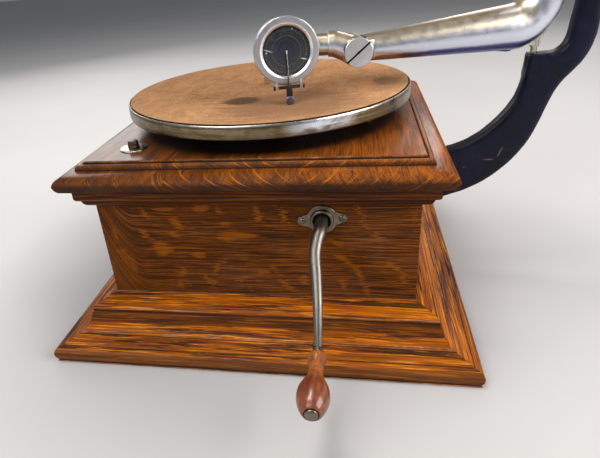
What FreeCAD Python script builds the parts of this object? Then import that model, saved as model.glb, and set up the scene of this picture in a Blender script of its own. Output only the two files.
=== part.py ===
import FreeCAD, Part
import os, math
from FreeCAD import Vector as V

# Gramophone in an oak case. Millimetres, +Z up, origin at the centre of the
# case's flat underside. +X is the crank side, -Y the front, +Y the rear.

# ---------------------------------------------------------------- dimensions
PX, PY = 204.0, 210.0          # plinth, half width and half depth
BX, BY = 147.6, 153.6          # case walls, outer half sizes
LX, LY = 172.8, 178.8          # lid moulding at its widest
WALL = 14.0                    # case panel thickness
Z_STEP = 22.5                  # plinth board / base moulding joint
Z_LIDU = 176.4                 # underside of the lid moulding
Z_DECKU, Z_DECK = 184.8, 200.8 # deck board, under and top face

R_TT = 152.4                   # 12-inch turntable
Z_RIM0, Z_RIM1 = 217.8, 230.9  # nickel rim
Z_WEB0, Z_WEB1 = 226.6, 229.4  # platter plate
R_FELT, Z_FELT = 148.2, 231.6
R_SP = 3.6                     # turntable spindle above the felt
Z_SP = 242.0

CY, CZ = 67.0, 140.4           # crank shaft axis, along X
CR_R = 76.0                    # crank radius
CRANK_X0, CRANK_X1 = 236.0, 306.0

BAR = (20.0, 67.0)             # spring barrel axis
INT = (-20.56, 31.36)          # intermediate arbor axis
GOV = (26.17, -26.86)          # governor axis
M1, M2 = 1.5, 1.25             # gear modules

PIV = 267.5                    # tone arm pivot, on the Y axis
TH = 16.0                      # tone arm swing at rest, degrees from -Y
HUB_D, HUB_Z = 180.4, 272.0    # elbow hinge, distance from the pivot, height
SB_D, SB_Z = 247.1, 279.9      # soundbox centre
AZ = -1.2                      # height of the arm's own frame
CLR = 0.06                     # running fit, radial

HORN_A = 22.0                  # horn axis above the horizontal
NPET = 10

# ------------------------------------------------------------------- helpers
X, Y, Z = V(1, 0, 0), V(0, 1, 0), V(0, 0, 1)


def box(x0, x1, y0, y1, z0, z1):
    return Part.makeBox(x1 - x0, y1 - y0, z1 - z0, V(x0, y0, z0))


def cyl(r, x, y, z0, z1):
    return Part.makeCylinder(r, z1 - z0, V(x, y, z0), Z)


def cylx(r, x0, x1, y, z):
    return Part.makeCylinder(r, x1 - x0, V(x0, y, z), X)


def cyly(r, x, y0, y1, z):
    return Part.makeCylinder(r, y1 - y0, V(x, y0, z), Y)


def rod(r, p, q):
    p, q = V(*p), V(*q)
    return Part.makeCylinder(r, (q - p).Length, p, q - p)


def conerod(r0, r1, p, q):
    p, q = V(*p), V(*q)
    return Part.makeCone(r0, r1, (q - p).Length, p, q - p)


def wire(pts):
    pts = [V(*p) for p in pts]
    return Part.makePolygon(pts + [pts[0]])


def prism(pts, z0, z1):
    return Part.Face(wire([(x, y, z0) for x, y in pts])).extrude(V(0, 0, z1 - z0))


def prism_yz(pts, x0, x1):
    return Part.Face(wire([(x0, y, z) for y, z in pts])).extrude(V(x1 - x0, 0, 0))


def prism_xz(pts, y0, y1):
    return Part.Face(wire([(x, y0, z) for x, z in pts])).extrude(V(0, y1 - y0, 0))


def turn_z(prof, x=0.0, y=0.0):
    """Revolve a closed (r, z) outline about the vertical through x, y."""
    f = Part.Face(wire([(x + r, y, z) for r, z in prof]))
    return f.revolve(V(x, y, 0), Z, 360)


def turn_x(prof, y, z):
    """Revolve a closed (x, r) outline about the X-parallel axis through y, z."""
    f = Part.Face(wire([(a, y, z + r) for a, r in prof]))
    return f.revolve(V(0, y, z), X, 360)


def turn_y(prof, x, z):
    """Revolve a closed (y, r) outline about the Y-parallel axis through x, z."""
    f = Part.Face(wire([(x, a, z + r) for a, r in prof]))
    return f.revolve(V(x, 0, z), Y, 360)


def fuse(*s):
    out = s[0]
    if len(s) > 1:
        out = out.fuse(list(s[1:]))
    return out.removeSplitter()


def cut(a, *s):
    for b in s:
        a = a.cut(b)
    return a


def rounded(shape, pick, r):
    """Fillet the edges that pick() accepts; keep the sharp shape if it fails."""
    edges = [e for e in shape.Edges if pick(e)]
    if not edges:
        return shape
    try:
        out = shape.makeFillet(r, edges)
        if out.isValid() and out.Solids:
            return out
    except Exception:
        pass
    return shape


OUT = {}


def node(name, *shapes):
    solids = []
    for s in shapes:
        solids += list(s.Solids)
    assert solids, name
    OUT[name] = solids


# ------------------------------------------------------------ mitred mouldings
def mitred(hx, hy, prof):
    """Four lengths of one moulding; prof is (inset from hx/hy, z)."""
    tmax = max(t for t, z in prof) + 0.0
    z0 = min(z for t, z in prof) - 1.0
    z1 = max(z for t, z in prof) + 1.0
    res = []
    for side in range(4):
        if side in (0, 2):
            a, b = hx, hy
        else:
            a, b = hy, hx
        f = Part.Face(wire([(a - t, -b - 5, z) for t, z in prof]))
        s = f.extrude(V(0, 2 * b + 10, 0))
        trap = prism([(a + 1, -(b + 1)), (a + 1, b + 1), (a - tmax - 1, b - tmax - 1),
                      (a - tmax - 1, -(b - tmax - 1))], z0, z1)
        s = s.common(trap)
        s.rotate(V(0, 0, 0), Z, 90 * side)
        res.append(s)
    return res


plinth_prof = [(6.0, 0), (2.6, 1.6), (0.8, 5.0), (0.0, 9.2), (0.5, 12.6), (2.4, 15.3), (5.4, 16.6),
               (8.2, 16.5), (8.9, 17.6), (22.2, 21.6), (24.6, 22.5), (56.4, 22.5), (56.4, 0)]
base_prof = [(24.6, 22.5), (27.2, 24.6), (29.6, 27.8), (31.6, 31.8), (33.2, 36.2), (34.6, 39.6),
             (35.4, 40.6), (35.5, 43.2), (36.4, 46.0), (38.4, 48.1), (41.2, 49.0), (51.6, 52.8),
             (54.4, 53.8), (56.4, 55.6), (56.4, 22.5)]
bed_prof = [(25.2, 156.4), (21.0, 156.9), (18.0, 159.0), (16.4, 162.0), (16.0, 163.8), (13.4, 164.6),
            (11.6, 166.4), (11.4, 168.0), (11.4, 176.4), (25.2, 176.4)]
lid_prof = [(7.0, 176.4), (3.8, 177.4), (1.4, 180.0), (0.2, 183.2), (0.0, 185.2),
            (1.0, 187.8), (3.4, 190.2), (7.0, 192.2), (11.6, 193.5), (15.6, 193.9), (17.2, 193.9),
            (17.5, 195.6), (18.3, 197.7), (20.0, 198.9), (21.8, 198.7), (22.8, 197.7), (23.8, 197.7),
            (23.9, 200.2), (24.6, 200.8)]
node("plinth_boards", *mitred(PX, PY, plinth_prof))
node("base_moulding", *mitred(PX, PY, base_prof))
node("bed_moulding", *mitred(LX, LY, bed_prof))

# ---------------------------------------------------------------------- case
IX, IY = BX - WALL, BY - WALL
node("bottom_board", box(-IX, IX, -IY, IY, 0, 10))
p = box(IX, BX, -BY, BY, 0, Z_DECKU)
p = cut(p, cylx(10.3, IX - 1, BX + 1, CY, CZ),
        cylx(1.3, IX - 1, BX + 1, CY - 17.9, CZ - 1.5), cylx(1.3, IX - 1, BX + 1, CY + 17.9, CZ + 1.5))
node("case_crank_panel", p)
BR_SCREWS = [(-27, 76), (27, 76), (-27, 138), (27, 138)]      # x, z on the rear panel
rear = box(-IX, IX, IY, BY, 0, Z_DECKU)
for x, z in BR_SCREWS:
    rear = cut(rear, cyly(2.4, x, IY + 0.5, BY + 1, z))
node("case_plain_panels", box(-BX, -IX, -BY, BY, 0, Z_DECKU), box(-IX, IX, -BY, -IY, 0, Z_DECKU), rear)
cb = []
for sx in (1, -1):
    for sy in (1, -1):
        q = [(sx * IX, sy * IY), (sx * (IX - 24), sy * IY), (sx * IX, sy * (IY - 24))]
        if sx * sy < 0:
            q = [q[0], q[2], q[1]]
        cb.append(prism(q, 10, Z_DECKU))
node("corner_blocks", *cb)

KNOB = (114.0, -117.6)
BRK = (-127.0, -124.0)         # brake lever pivot
HANG = [(-62, -58), (44, -74), (-56, 104), (44, 106)]   # motor bolts
# the lid is a solid board of three planks with its edge moulded all round
def across(h, prof):
    left = [(-h + t, z) for t, z in prof]
    return left + [(-a, z) for a, z in reversed(left)]


deck = prism_xz(across(LX, lid_prof), -LY - 5, LY + 5).common(prism_yz(across(LY, lid_prof), -LX - 5, LX + 5))
deck = cut(deck, box(-BX, BX, -BY, BY, 170, Z_DECKU))
deck = cut(deck, cyl(9, 0, 0, 180, 205), cyl(4.2, KNOB[0], KNOB[1], 180, 205), cyl(2.6, BRK[0], BRK[1], 190, 205))
for x, y in HANG:
    deck = cut(deck, cyl(3.2, x, y, 180, 205))
deck = cut(deck, cyl(1.1, KNOB[0] + 2.4, KNOB[1] + 9.6, 194, 205))
planks = []
for ya, yb in ((-LY - 1, -70.0), (-70.0, 50.0), (50.0, LY + 1)):
    planks.append(deck.common(box(-LX - 1, LX + 1, ya, yb, 170, 210)))
node("lid_planks", *planks)

# ------------------------------------------------------ crank escutcheon
es = turn_x([(BX, 9.2), (BX, 14.3), (BX + 0.9, 14.3), (BX + 1.7, 13.5), (BX + 2.0, 10.9), (BX + 4.6, 10.4),
             (BX + 5.2, 9.7), (BX + 5.2, 8.3), (BX + 4.4, 7.6), (BX - 13.0, 7.6), (BX - 13.0, 9.2)], CY, CZ)
ears = []
for s, oz in ((-1, -1.5), (1, 1.5)):
    e = prism_yz([(CY + s * 8, CZ + oz * 0.4 - 8.5), (CY + s * 17.5, CZ + oz - 4.9), (CY + s * 21.4, CZ + oz - 3.3),
                  (CY + s * 22.7, CZ + oz), (CY + s * 21.4, CZ + oz + 3.3), (CY + s * 17.5, CZ + oz + 4.9),
                  (CY + s * 8, CZ + oz * 0.4 + 8.5)], BX, BX + 1.4)
    e = cut(e, cylx(1.7, BX - 1, BX + 3, CY + s * 17.9, CZ + oz), cylx(9.0, BX - 1, BX + 3, CY, CZ))
    ears.append(e)
es = fuse(es, *ears)
node("crank_escutcheon", es)


def round_screw_x(x, y, z, slot):
    """Round-head wood screw driven in along -X, head on the face at x."""
    h = turn_x([(x, 0.0), (x, 3.1), (x + 0.7, 3.0), (x + 1.4, 2.3), (x + 1.8, 1.2), (x + 1.9, 0.0)], y, z)
    h = h.fuse(cylx(1.25, x - 12, x + 0.01, y, z))
    g = box(x + 1.1, x + 3, y - 4, y + 4, z - 0.3, z + 0.3)
    g.rotate(V(0, y, z), X, slot)
    return cut(h, g)


def round_screw_z(x, y, z, slot):
    h = turn_z([(0.0, z), (2.6, z), (2.5, z + 0.6), (1.9, z + 1.2), (0.9, z + 1.5), (0.0, z + 1.55)], x, y)
    h = h.fuse(cyl(1.05, x, y, z - 6.5, z + 0.01))
    g = box(x - 4, x + 4, y - 0.25, y + 0.25, z + 0.9, z + 3)
    g.rotate(V(x, y, 0), Z, slot)
    return cut(h, g)


CPZ = Z_DECK + 1.3
node("round_head_screws",
     round_screw_x(BX + 1.4, CY - 17.9, CZ - 1.5, 35), round_screw_x(BX + 1.4, CY + 17.9, CZ + 1.5, -20),
     round_screw_z(KNOB[0] + 2.4, KNOB[1] + 9.6, CPZ, 30))

# ------------------------------------------------------ speed control
plate = turn_z([(4.2, Z_DECK), (13.8, Z_DECK), (13.8, Z_DECK + 0.6), (12.9, CPZ), (4.2, CPZ)], *KNOB)
plate = cut(plate, cyl(1.3, KNOB[0] + 2.4, KNOB[1] + 9.6, 195, 210))
node("control_plate", plate)
kx, ky = KNOB
knob = turn_z([(0, CPZ + 0.4), (5.4, CPZ + 0.4), (5.6, CPZ + 1.2), (5.0, CPZ + 5.2), (4.9, CPZ + 6.4),
               (4.2, CPZ + 7.0), (0, CPZ + 7.2)], kx, ky)
stem = cyl(3.6, kx, ky, 171.0, CPZ + 0.5)
wedge = box(-8, 8, -9, 9, 160.0, 168.0)      # sloping underside of the face cam
wedge.rotate(V(0, 0, 168.0), X, 11.0)
cam = cyl(6.5, 0, 0, 166.0, 172.0).cut(wedge)
cam = cam.cut(box(-8, 8, -9, 9, 160.0, 165.0))
cam.rotate(V(0, 0, 0), Z, math.degrees(math.atan2(KNOB[1] - GOV[1], KNOB[0] - GOV[0])))
cam.translate(V(kx, ky, 0))
ptr = []
for i in range(9):                       # curved pointer finger
    a = math.radians(118 - i * 15)
    ptr.append((kx + (4.5 + i * 0.75) * math.cos(a), ky + (4.5 + i * 0.75) * math.sin(a)))
inner = []
for i in range(9):
    a = math.radians(118 - i * 15)
    w = 2.6 - i * 0.2
    inner.append((kx + (4.5 + i * 0.75 - w) * math.cos(a), ky + (4.5 + i * 0.75 - w) * math.sin(a)))
finger = prism(ptr + inner[::-1], CPZ + 2.3, CPZ + 4.1)
node("speed_knob", fuse(knob, stem, cam, finger))

# ------------------------------------------------------ rear bracket casting
web = [(160.0, 88.0), (180.0, 92.4), (199.2, 98.6), (216.4, 104.8), (234.1, 114.6), (247.3, 125.0), (257.7, 135.6),
       (265.8, 146.0), (273.2, 157.6), (279.0, 170.9), (283.6, 184.8), (287.4, 199.0), (291.6, 211.8), (297.4, 222.6),
       (305.0, 231.6), (311.8, 240.0), (316.2, 248.6), (319.0, 258.0), (320.3, 267.0), (320.0, 279.0), (318.4, 296.0),
       (316.6, 315.0), (315.6, 333.0), (315.0, 352.0), (313.2, 362.0), (308.0, 372.0), (299.6, 372.0), (299.6, 350.0),
       (300.4, 333.0), (299.6, 315.0), (298.4, 296.0), (297.6, 283.8), (296.8, 272.3), (295.6, 261.5), (292.6, 255.2),
       (287.8, 251.8), (281.7, 250.6), (275.5, 250.2), (267.5, 250.2), (262.6, 250.2), (261.9, 236.0), (260.4, 221.0),
       (256.6, 206.8), (249.4, 194.0), (239.2, 181.4), (227.6, 170.4), (215.0, 162.2), (202.1, 156.7), (186.0, 152.4),
       (160.0, 149.6)]
body = prism_yz(web, -9.5, 9.5)
body = rounded(body, lambda e: abs(abs(e.CenterOfMass.x) - 9.5) < 1e-6 and e.CenterOfMass.y > 190
               and not (250 < e.CenterOfMass.y < 300 and e.CenterOfMass.z > 250)
               and e.CenterOfMass.z < 330, 3.5)
boss = turn_z([(0, 230.0), (6.0, 230.0), (7.0, 237.0), (6.9, 248.6), (6.0, 250.2), (0, 250.2)], 0, PIV)
foot = box(-38, 38, BY, BY + 9, 62, 152)
foot = rounded(foot, lambda e: abs(e.CenterOfMass.y - BY - 9) < 1e-6 and e.Length > 60, 3.0)
gus = []
for s in (1, -1):                        # feet fillets of the web
    gus.append(prism([(s * 9.0, BY + 8.5), (s * 19, BY + 8.5), (s * 9.0, BY + 26)] if s > 0 else
                     [(s * 9.0, BY + 8.5), (s * 9.0, BY + 26), (s * 19, BY + 8.5)], 94, 146))
RR0, RR1 = 31.2, 39.5                    # ring that holds the horn
ring = turn_z([(RR0, 354.0), (RR1 - 1.5, 354.0), (RR1, 355.5), (RR1, 372.5), (RR1 - 1.5, 374.0), (RR0, 374.0)], 0, PIV)
cast = fuse(body, boss, foot, *gus)
cast = cast.fuse(ring)
cast = cut(cast, cyl(RR0, 0, PIV, 340, 380), cyl(3.0 + CLR, 0, PIV, 237.0, 252.0))
for x, z in BR_SCREWS:
    cast = cut(cast, cyly(3.0, x, BY - 1, BY + 12, z))
CLX = 45.0                               # clamp screw lies along +X through the ring
cast = cast.fuse(cut(cylx(7.0, 37.0, 46.0, PIV, 364.0), cyl(RR0, 0, PIV, 340, 380)))
cast = cut(cast, cylx(3.0 + CLR, 25.0, 50.0, PIV, 364.0))
node("bracket_casting", cast.removeSplitter())
bs = []
for x, z in BR_SCREWS:
    h = turn_y([(BY + 9, 0), (BY + 9, 6.2), (BY + 10.4, 6.0), (BY + 12.2, 4.6), (BY + 13.2, 2.4), (BY + 13.4, 0)], x, z)
    h = h.fuse(cyly(2.4, x, IY + 3, BY + 9.01, z))
    g = box(x - 7, x + 7, BY + 11.4, BY + 15, z - 0.6, z + 0.6)
    g.rotate(V(x, 0, z), Y, 25 + x)
    bs.append(cut(h, g))
node("bracket_screws", *bs)
cs = fuse(cylx(3.0, 31.4, 50.0, PIV, 364.0), cylx(8.0, 50.0, 56.0, PIV, 364.0))
for i in range(12):
    a = math.radians(30 * i)
    cs = cut(cs, cylx(1.3, 49, 57, PIV + 8.6 * math.cos(a), 364 + 8.6 * math.sin(a)))
node("horn_clamp_screw", cs)

# ------------------------------------------------------ brake
bx, by = BRK
bplate = turn_z([(2.6, Z_DECK), (9.0, Z_DECK), (9.0, Z_DECK + 1.4), (8.2, Z_DECK + 2.0), (2.6, Z_DECK + 2.0)], bx, by)
bpost = fuse(cyl(2.5, bx, by, 190.5, 212.0), cyl(4.6, bx, by, 212.0, 214.0))
node("brake_plate", bplate, bpost)
ux, uy = -bx / math.hypot(bx, by), -by / math.hypot(bx, by)     # towards the spindle
ra = math.hypot(bx, by) - R_TT
# the lever lies beside the rim; its pad stops 0.6 mm short of the nickel
tx, ty = -uy, ux
PADA = math.radians(214.5)
pr = R_TT + 1.1
lev = cyl(6.0, bx, by, Z_DECK + 2.4, 211.6)
px_, py_ = (pr + 4.0) * math.cos(PADA), (pr + 4.0) * math.sin(PADA)
dvx, dvy = px_ - bx, py_ - by
dl = math.hypot(dvx, dvy)
nx_, ny_ = -dvy / dl, dvx / dl
bar = prism([(bx + 3 * nx_, by + 3 * ny_), (bx - 3 * nx_, by - 3 * ny_), (px_ - 2.4 * nx_, py_ - 2.4 * ny_),
             (px_ + 2.4 * nx_, py_ + 2.4 * ny_)], 204.0, 207.4)
tail_e = (bx - dvx / dl * 17, by - dvy / dl * 17)
tail = prism([(bx + 3 * nx_, by + 3 * ny_), (tail_e[0] + 2 * nx_, tail_e[1] + 2 * ny_), (tail_e[0] - 2 * nx_, tail_e[1] - 2 * ny_),
              (bx - 3 * nx_, by - 3 * ny_)], 204.0, 207.4)
btn = cyl(4.2, tail_e[0], tail_e[1], 203.6, 209.6)
up = cyl(2.8, px_, py_, 204.0, 228.0)
pad = cut(cyl(3.4, px_, py_, 219.0, 229.0), cyl(2.8, px_, py_, 218, 230))
lever = cut(fuse(lev, bar, tail, btn, up), cyl(2.5 + CLR, bx, by, 190, 215))
node("brake_lever", lever)
node("brake_pad", pad)

# ------------------------------------------------------ turntable
plat = turn_z([(12.0, Z_WEB0), (R_TT - 2.4, Z_WEB0), (R_TT - 2.4, Z_RIM0 + 0.8), (R_TT - 1.4, Z_RIM0),
               (R_TT - 0.7, Z_RIM0), (R_TT, Z_RIM0 + 0.8), (R_TT, Z_RIM1 - 1.0), (R_TT - 0.6, Z_RIM1),
               (R_TT - 1.1, Z_RIM1), (R_TT - 1.7, Z_RIM1 - 0.6), (R_TT - 1.7, Z_WEB1), (4.4, Z_WEB1), (5.2, 208.0),
               (12.0, 208.0), (12.6, 209.0)])
node("turntable_platter", plat)
node("felt_mat", turn_z([(3.9, Z_WEB1), (R_FELT, Z_WEB1), (R_FELT, Z_FELT - 0.5), (R_FELT - 0.7, Z_FELT),
                         (3.9, Z_FELT)]))
spin = turn_z([(0, 19.2), (2.0, 19.2), (4.0, 21.0), (4.0, 204.0), (5.2, 206.0), (5.2, 208.0), (4.4, Z_WEB1), (3.9, Z_WEB1),
               (3.9, Z_FELT), (R_SP, Z_FELT), (R_SP, Z_SP - 1.2), (R_SP - 1.0, Z_SP - 0.2), (1.2, Z_SP), (0, Z_SP)])
node("spindle", spin)


# ------------------------------------------------------ gears
def inv(a):
    return math.tan(a) - a


PA = math.radians(20)


def half(N, m, r, bl):
    rp, rb = m * N / 2.0, m * N / 2.0 * math.cos(PA)
    a = math.acos(min(1.0, rb / r))
    return r * (math.pi / (2 * N) + inv(PA) - inv(a)) - bl


def gear_outline(N, m, phase, add, ded, bl, fine):
    rp = m * N / 2.0
    rs = [rp - ded * m, rp - 0.45 * m, rp, rp + 0.5 * m, rp + add * m] if fine else \
         [rp - ded * m, rp - 0.1 * m, rp + add * m]
    pts = []
    for k in range(N):
        c = phase + 2 * math.pi * k / N
        fl = [(r, max(half(N, m, r, bl), 0.12) / r) for r in rs]
        for r, h in fl:
            pts.append((r * math.cos(c - h), r * math.sin(c - h)))
        for r, h in reversed(fl):
            pts.append((r * math.cos(c + h), r * math.sin(c + h)))
    return pts


def gear(N, m, cx, cy, z0, z1, phase, bore=0.0, add=0.9, ded=1.2, bl=0.11, fine=False):
    pts = [(cx + x, cy + y) for x, y in gear_outline(N, m, phase, add, ded, bl, fine)]
    g = prism(pts, z0, z1)
    if bore:
        g = cut(g, cyl(bore, cx, cy, z0 - 1, z1 + 1))
    return g


def ang(p, q):
    return math.atan2(q[1] - p[1], q[0] - p[0])


def spokes(g, cx, cy, z0, z1, r0, r1, n):
    """Lighten a wheel with n round windows."""
    rm, rw = (r0 + r1) / 2.0, (r1 - r0) / 2.0
    for i in range(n):
        a = 2 * math.pi * (i + 0.5) / n
        g = cut(g, cyl(rw, cx + rm * math.cos(a), cy + rm * math.sin(a), z0 - 1, z1 + 1))
    return g


O = (0.0, 0.0)
# spindle: pinion 12 meshes the intermediate wheel 48; wheel 48 drives the governor
sp_pin = gear(12, M2, 0, 0, 91, 97, ang(O, INT), 4.0, fine=True)
sp_whl = spokes(gear(48, M2, 0, 0, 104, 107, ang(O, GOV), 4.0, add=0.85), 0, 0, 104, 107, 10, 25, 5)
sp_hub = cut(fuse(cyl(8, 0, 0, 107, 112), cyl(7, 0, 0, 97, 104)), cyl(4.0, 0, 0, 90, 120))
node("spindle_gears", fuse(sp_pin, sp_hub, sp_whl))
# intermediate: wheel 48 and pinion 12
iw = spokes(gear(48, M2, INT[0], INT[1], 92, 96, ang(INT, O) + math.pi / 48, 3.5, add=0.85), INT[0], INT[1], 92, 96,
            9, 25, 5)
ip = gear(12, M1, INT[0], INT[1], 77, 85, ang(INT, BAR), 3.5, fine=True)
ih = cut(cyl(7, INT[0], INT[1], 85, 92), cyl(3.5, INT[0], INT[1], 80, 96))
ia = turn_z([(0, 16.5), (2.5, 16.5), (2.5, 22.6), (3.5, 22.6), (3.5, 157.4), (2.5, 157.4), (2.5, 166.0), (0, 166.0)], *INT)
node("intermediate_arbor", fuse(ia, iw, ih, ip))
# spring barrel: rim 60
bg = gear(60, M1, BAR[0], BAR[1], 78, 84, ang(BAR, INT) + math.pi / 60, 0, add=0.85)
drum = turn_z([(5.06, 30), (42, 30), (42, 84), (39.5, 84), (39.5, 33), (9, 33), (9, 35), (5.06, 35)], *BAR)
bg = cut(bg, cyl(41, BAR[0], BAR[1], 70, 90))
node("spring_barrel", fuse(drum, bg))
cov = turn_z([(5.06, 84), (42.5, 84), (42.5, 86), (20, 86), (18, 87), (5.06, 87)], *BAR)
node("barrel_cover", cov)
pts = []
NT = 9
for i in range(NT * 16 + 1):
    a = 2 * math.pi * i / 16
    r = 9.6 + (38.2 - 9.6) * i / (NT * 16.0)
    pts.append(V(BAR[0] + r * math.cos(a), BAR[1] + r * math.sin(a), 36))
pts2 = []
for i in range(NT * 16 + 1):
    a = 2 * math.pi * i / 16
    r = 10.3 + (38.9 - 9.6) * i / (NT * 16.0) - (0.7 * i / (NT * 16.0))
    pts2.append(V(BAR[0] + r * math.cos(a), BAR[1] + r * math.sin(a), 36))
c1, c2 = Part.BSplineCurve(), Part.BSplineCurve()
c1.interpolate(pts)
c2.interpolate(pts2)
w = Part.Wire([c1.toShape(), Part.makeLine(pts[-1], pts2[-1]), c2.toShape().reversed(), Part.makeLine(pts2[0], pts[0])])
coil = Part.Face(w).extrude(V(0, 0, 44))
hook = box(BAR[0] + 38.4, BAR[0] + 39.6, BAR[1] - 2.5, BAR[1] + 2.5, 54.0, 62.0)
hook = cut(hook, cyl(60, BAR[0], BAR[1], 50, 70).cut(cyl(39.5, BAR[0], BAR[1], 40, 80)))
node("mainspring", coil.fuse(hook))
# governor
gp = gear(12, M2, GOV[0], GOV[1], 102.5, 108.5, ang(GOV, O) + math.pi / 12, 0, fine=True)
gsh = turn_z([(0, 16.5), (1.6, 16.5), (1.6, 22.6), (2.5, 22.6), (2.5, 157.4), (1.6, 157.4), (1.6, 166.0), (0, 166.0)], *GOV)
node("governor_shaft", fuse(gsh, gp))
wts, spr, flats = [], [], []
for i in range(3):
    a = 60 + 120 * i
    st = prism_xz([(6.4, 41.5), (7.0, 41.5), (7.0, 46), (8.9, 60), (8.9, 72), (7.0, 84), (7.0, 89), (6.4, 89), (6.4, 83.7),
                   (8.3, 71.6), (8.3, 60.3), (6.4, 46.3)], -2.5, 2.5)
    wt = Part.makeSphere(6.0, V(14.4, 0, 66)).cut(box(0, 8.9, -8, 8, 50, 80))
    fl = box(6.4, 9, -3.2, 3.2, 40, 90)
    for q, l_ in ((st, spr), (wt, wts), (fl, flats)):
        q.rotate(V(0, 0, 0), Z, a)
        q.translate(V(GOV[0], GOV[1], 0))
        l_.append(q)
node("governor_weights", *wts)
node("governor_springs", *spr)
col = cut(turn_z([(2.5, 41), (7.0, 41), (7.0, 47), (2.5, 47)], *GOV), *flats)
fd = cut(turn_z([(2.5, 84), (7.0, 84), (7.0, 90), (2.5, 90)], *GOV), *flats)
fd = fd.fuse(turn_z([(2.5, 90), (7.6, 90), (7.6, 91), (16, 91), (16, 93), (2.5, 93)], *GOV))
node("friction_disc", col, fd)

# ------------------------------------------------------ winding bevels
APEX = V(BAR[0], BAR[1], CZ)


def bevel(N, N2, m, b, axis, ref, phase, rb, hub, add=0.85, ded=1.15, bl=0.12):
    """Straight bevel gear; teeth shrink to the apex. axis points to the large end."""
    dl = math.atan(N / float(N2))
    R = m * N / 2.0 / math.sin(dl)
    cd, sd = math.cos(dl), math.sin(dl)
    t2 = axis.cross(ref)
    Nv = N / cd
    ys = [-(ded + 0.5) * m, -0.35 * m, 0.0, 0.45 * m, add * m]
    hw = [max(half(Nv, m, Nv * m / 2.0 + y, bl), 0.2) for y in ys]
    s = (R - b) / R
    teeth = []
    for k in range(N):
        a = phase + 2 * math.pi * k / N
        e = ref * math.cos(a) + t2 * math.sin(a)
        t = axis.cross(e)
        u = axis * cd + e * sd
        wv = axis * (-sd) + e * cd
        ring_ = [u * R + wv * y + t * (-h) for y, h in zip(ys, hw)]
        ring_ += [u * R + wv * y + t * h for y, h in reversed(list(zip(ys, hw)))]
        big = Part.makePolygon([APEX + q for q in ring_] + [APEX + ring_[0]])
        sml = Part.makePolygon([APEX + q * s for q in ring_] + [APEX + ring_[0] * s])
        teeth.append(Part.makeLoft([big, sml], True, True))
    def pt(rho, y):
        return (rho * cd - y * sd, rho * sd + y * cd)
    a0, r0 = pt(R, -ded * m)
    a1, r1 = pt(R - b, -ded * m * s)
    prof = [(a0, r0), (a1, r1), (a1, rb), (a0 + hub, rb), (a0 + hub, min(r0, rb + 5.0)), (a0 + 2.2, min(r0, rb + 5.0)), (a0 + 2.2, r0 * 0.96)]
    f = Part.Face(wire([tuple(APEX + axis * a + ref * r) for a, r in prof]))
    blank = f.revolve(APEX, axis, 360)
    return blank.fuse(teeth)


MB = 1.6
NB1, NB2 = 16, 32
pin = bevel(NB1, NB2, MB, 8.0, X, V(0, 0, -1), 0.0, 5.0, 5.0)
node("winding_shaft", fuse(pin, cylx(5.0, 37.5, 60.0, CY, CZ), cylx(6.0, 54.0, 129.0, CY, CZ)))
whl = bevel(NB2, NB1, MB, 8.0, V(0, 0, -1), X, math.pi / NB2, 5.0, 3.0)
# ratchet wheel below the bevel wheel
rt = []
for k in range(24):
    a = 2 * math.pi * k / 24
    rt.append((BAR[0] + 20.5 * math.cos(a), BAR[1] + 20.5 * math.sin(a)))
    a += 2 * math.pi / 24 * 0.93
    rt.append((BAR[0] + 18.2 * math.cos(a), BAR[1] + 18.2 * math.sin(a)))
ratchet = cut(prism(rt, 113.5, 117.0), cyl(5.0, BAR[0], BAR[1], 110, 120))
zb = whl.BoundBox.ZMin
colr = cut(cyl(9.0, BAR[0], BAR[1], 117.0, zb + 0.5), cyl(5.0, BAR[0], BAR[1], 110, 140))
node("winding_bevel_wheel", fuse(whl, colr, ratchet))
node("winding_arbor", turn_z([(0, 16.5), (5.0, 16.5), (5.0, 29.0), (5.0, 166.0), (0, 166.0)], *BAR))
# pawl, drawn just lifted off the ratchet teeth
def around(dx_, dy_, turned=150.0):
    c, s_ = math.cos(math.radians(turned)), math.sin(math.radians(turned))
    return (BAR[0] + dx_ * c - dy_ * s_, BAR[1] + dx_ * s_ + dy_ * c)


PW = around(33.0, -13.0)
paw = fuse(cyl(5.0, PW[0], PW[1], 113.0, 118.0),
           prism([around(32.0, -17.6), around(37.6, -12.0), around(22.3, 7.4), around(21.4, 4.4)], 113.5, 117.0))
paw = cut(paw, cyl(2.5 + CLR, PW[0], PW[1], 100, 130))
node("ratchet_pawl", paw)

# ------------------------------------------------------ motor frame
# the speed lever rocks on a cross pin, along the line from the governor to the knob
LA = math.degrees(math.atan2(KNOB[1] - GOV[1], KNOB[0] - GOV[0]))
LK = math.hypot(KNOB[1] - GOV[1], KNOB[0] - GOV[0])
bed = prism([(-74, -72), (70, -92), (90, -90), (80, 126), (-70, 118)], 158, 163)
bed = rounded(bed, lambda e: abs(e.tangentAt(e.FirstParameter).z) > 0.99, 10)
lug = box(62, 70, CY - 11, CY + 11, CZ - 11, 158.5)
bed = bed.fuse(lug)
pawpost = cyl(2.5, PW[0], PW[1], 111.0, 158.0)
cheeks = [box(64, 76, 3.6, 6.8, 140, 158.5), box(64, 76, -6.8, -3.6, 140, 158.5),
          cyly(1.5, 70.0, -7.8, 7.8, 145.0)]
for c_ in cheeks:
    c_.rotate(V(0, 0, 0), Z, LA)
    c_.translate(V(GOV[0], GOV[1], 0))
bed = bed.fuse([pawpost, cyl(5.0, PW[0], PW[1], 120.0, 158.0)] + cheeks)
bed = cut(bed, cyl(4.0 + CLR, 0, 0, 150, 170), cyl(2.5 + CLR, INT[0], INT[1], 150, 170),
          cyl(1.6 + CLR, GOV[0], GOV[1], 150, 170), cyl(5.0 + CLR, BAR[0], BAR[1], 150, 170),
          cylx(6.0 + CLR, 50, 80, CY, CZ))
for x, y in HANG:
    bed = cut(bed, cyl(3.0, x, y, 150, 170))
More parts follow.
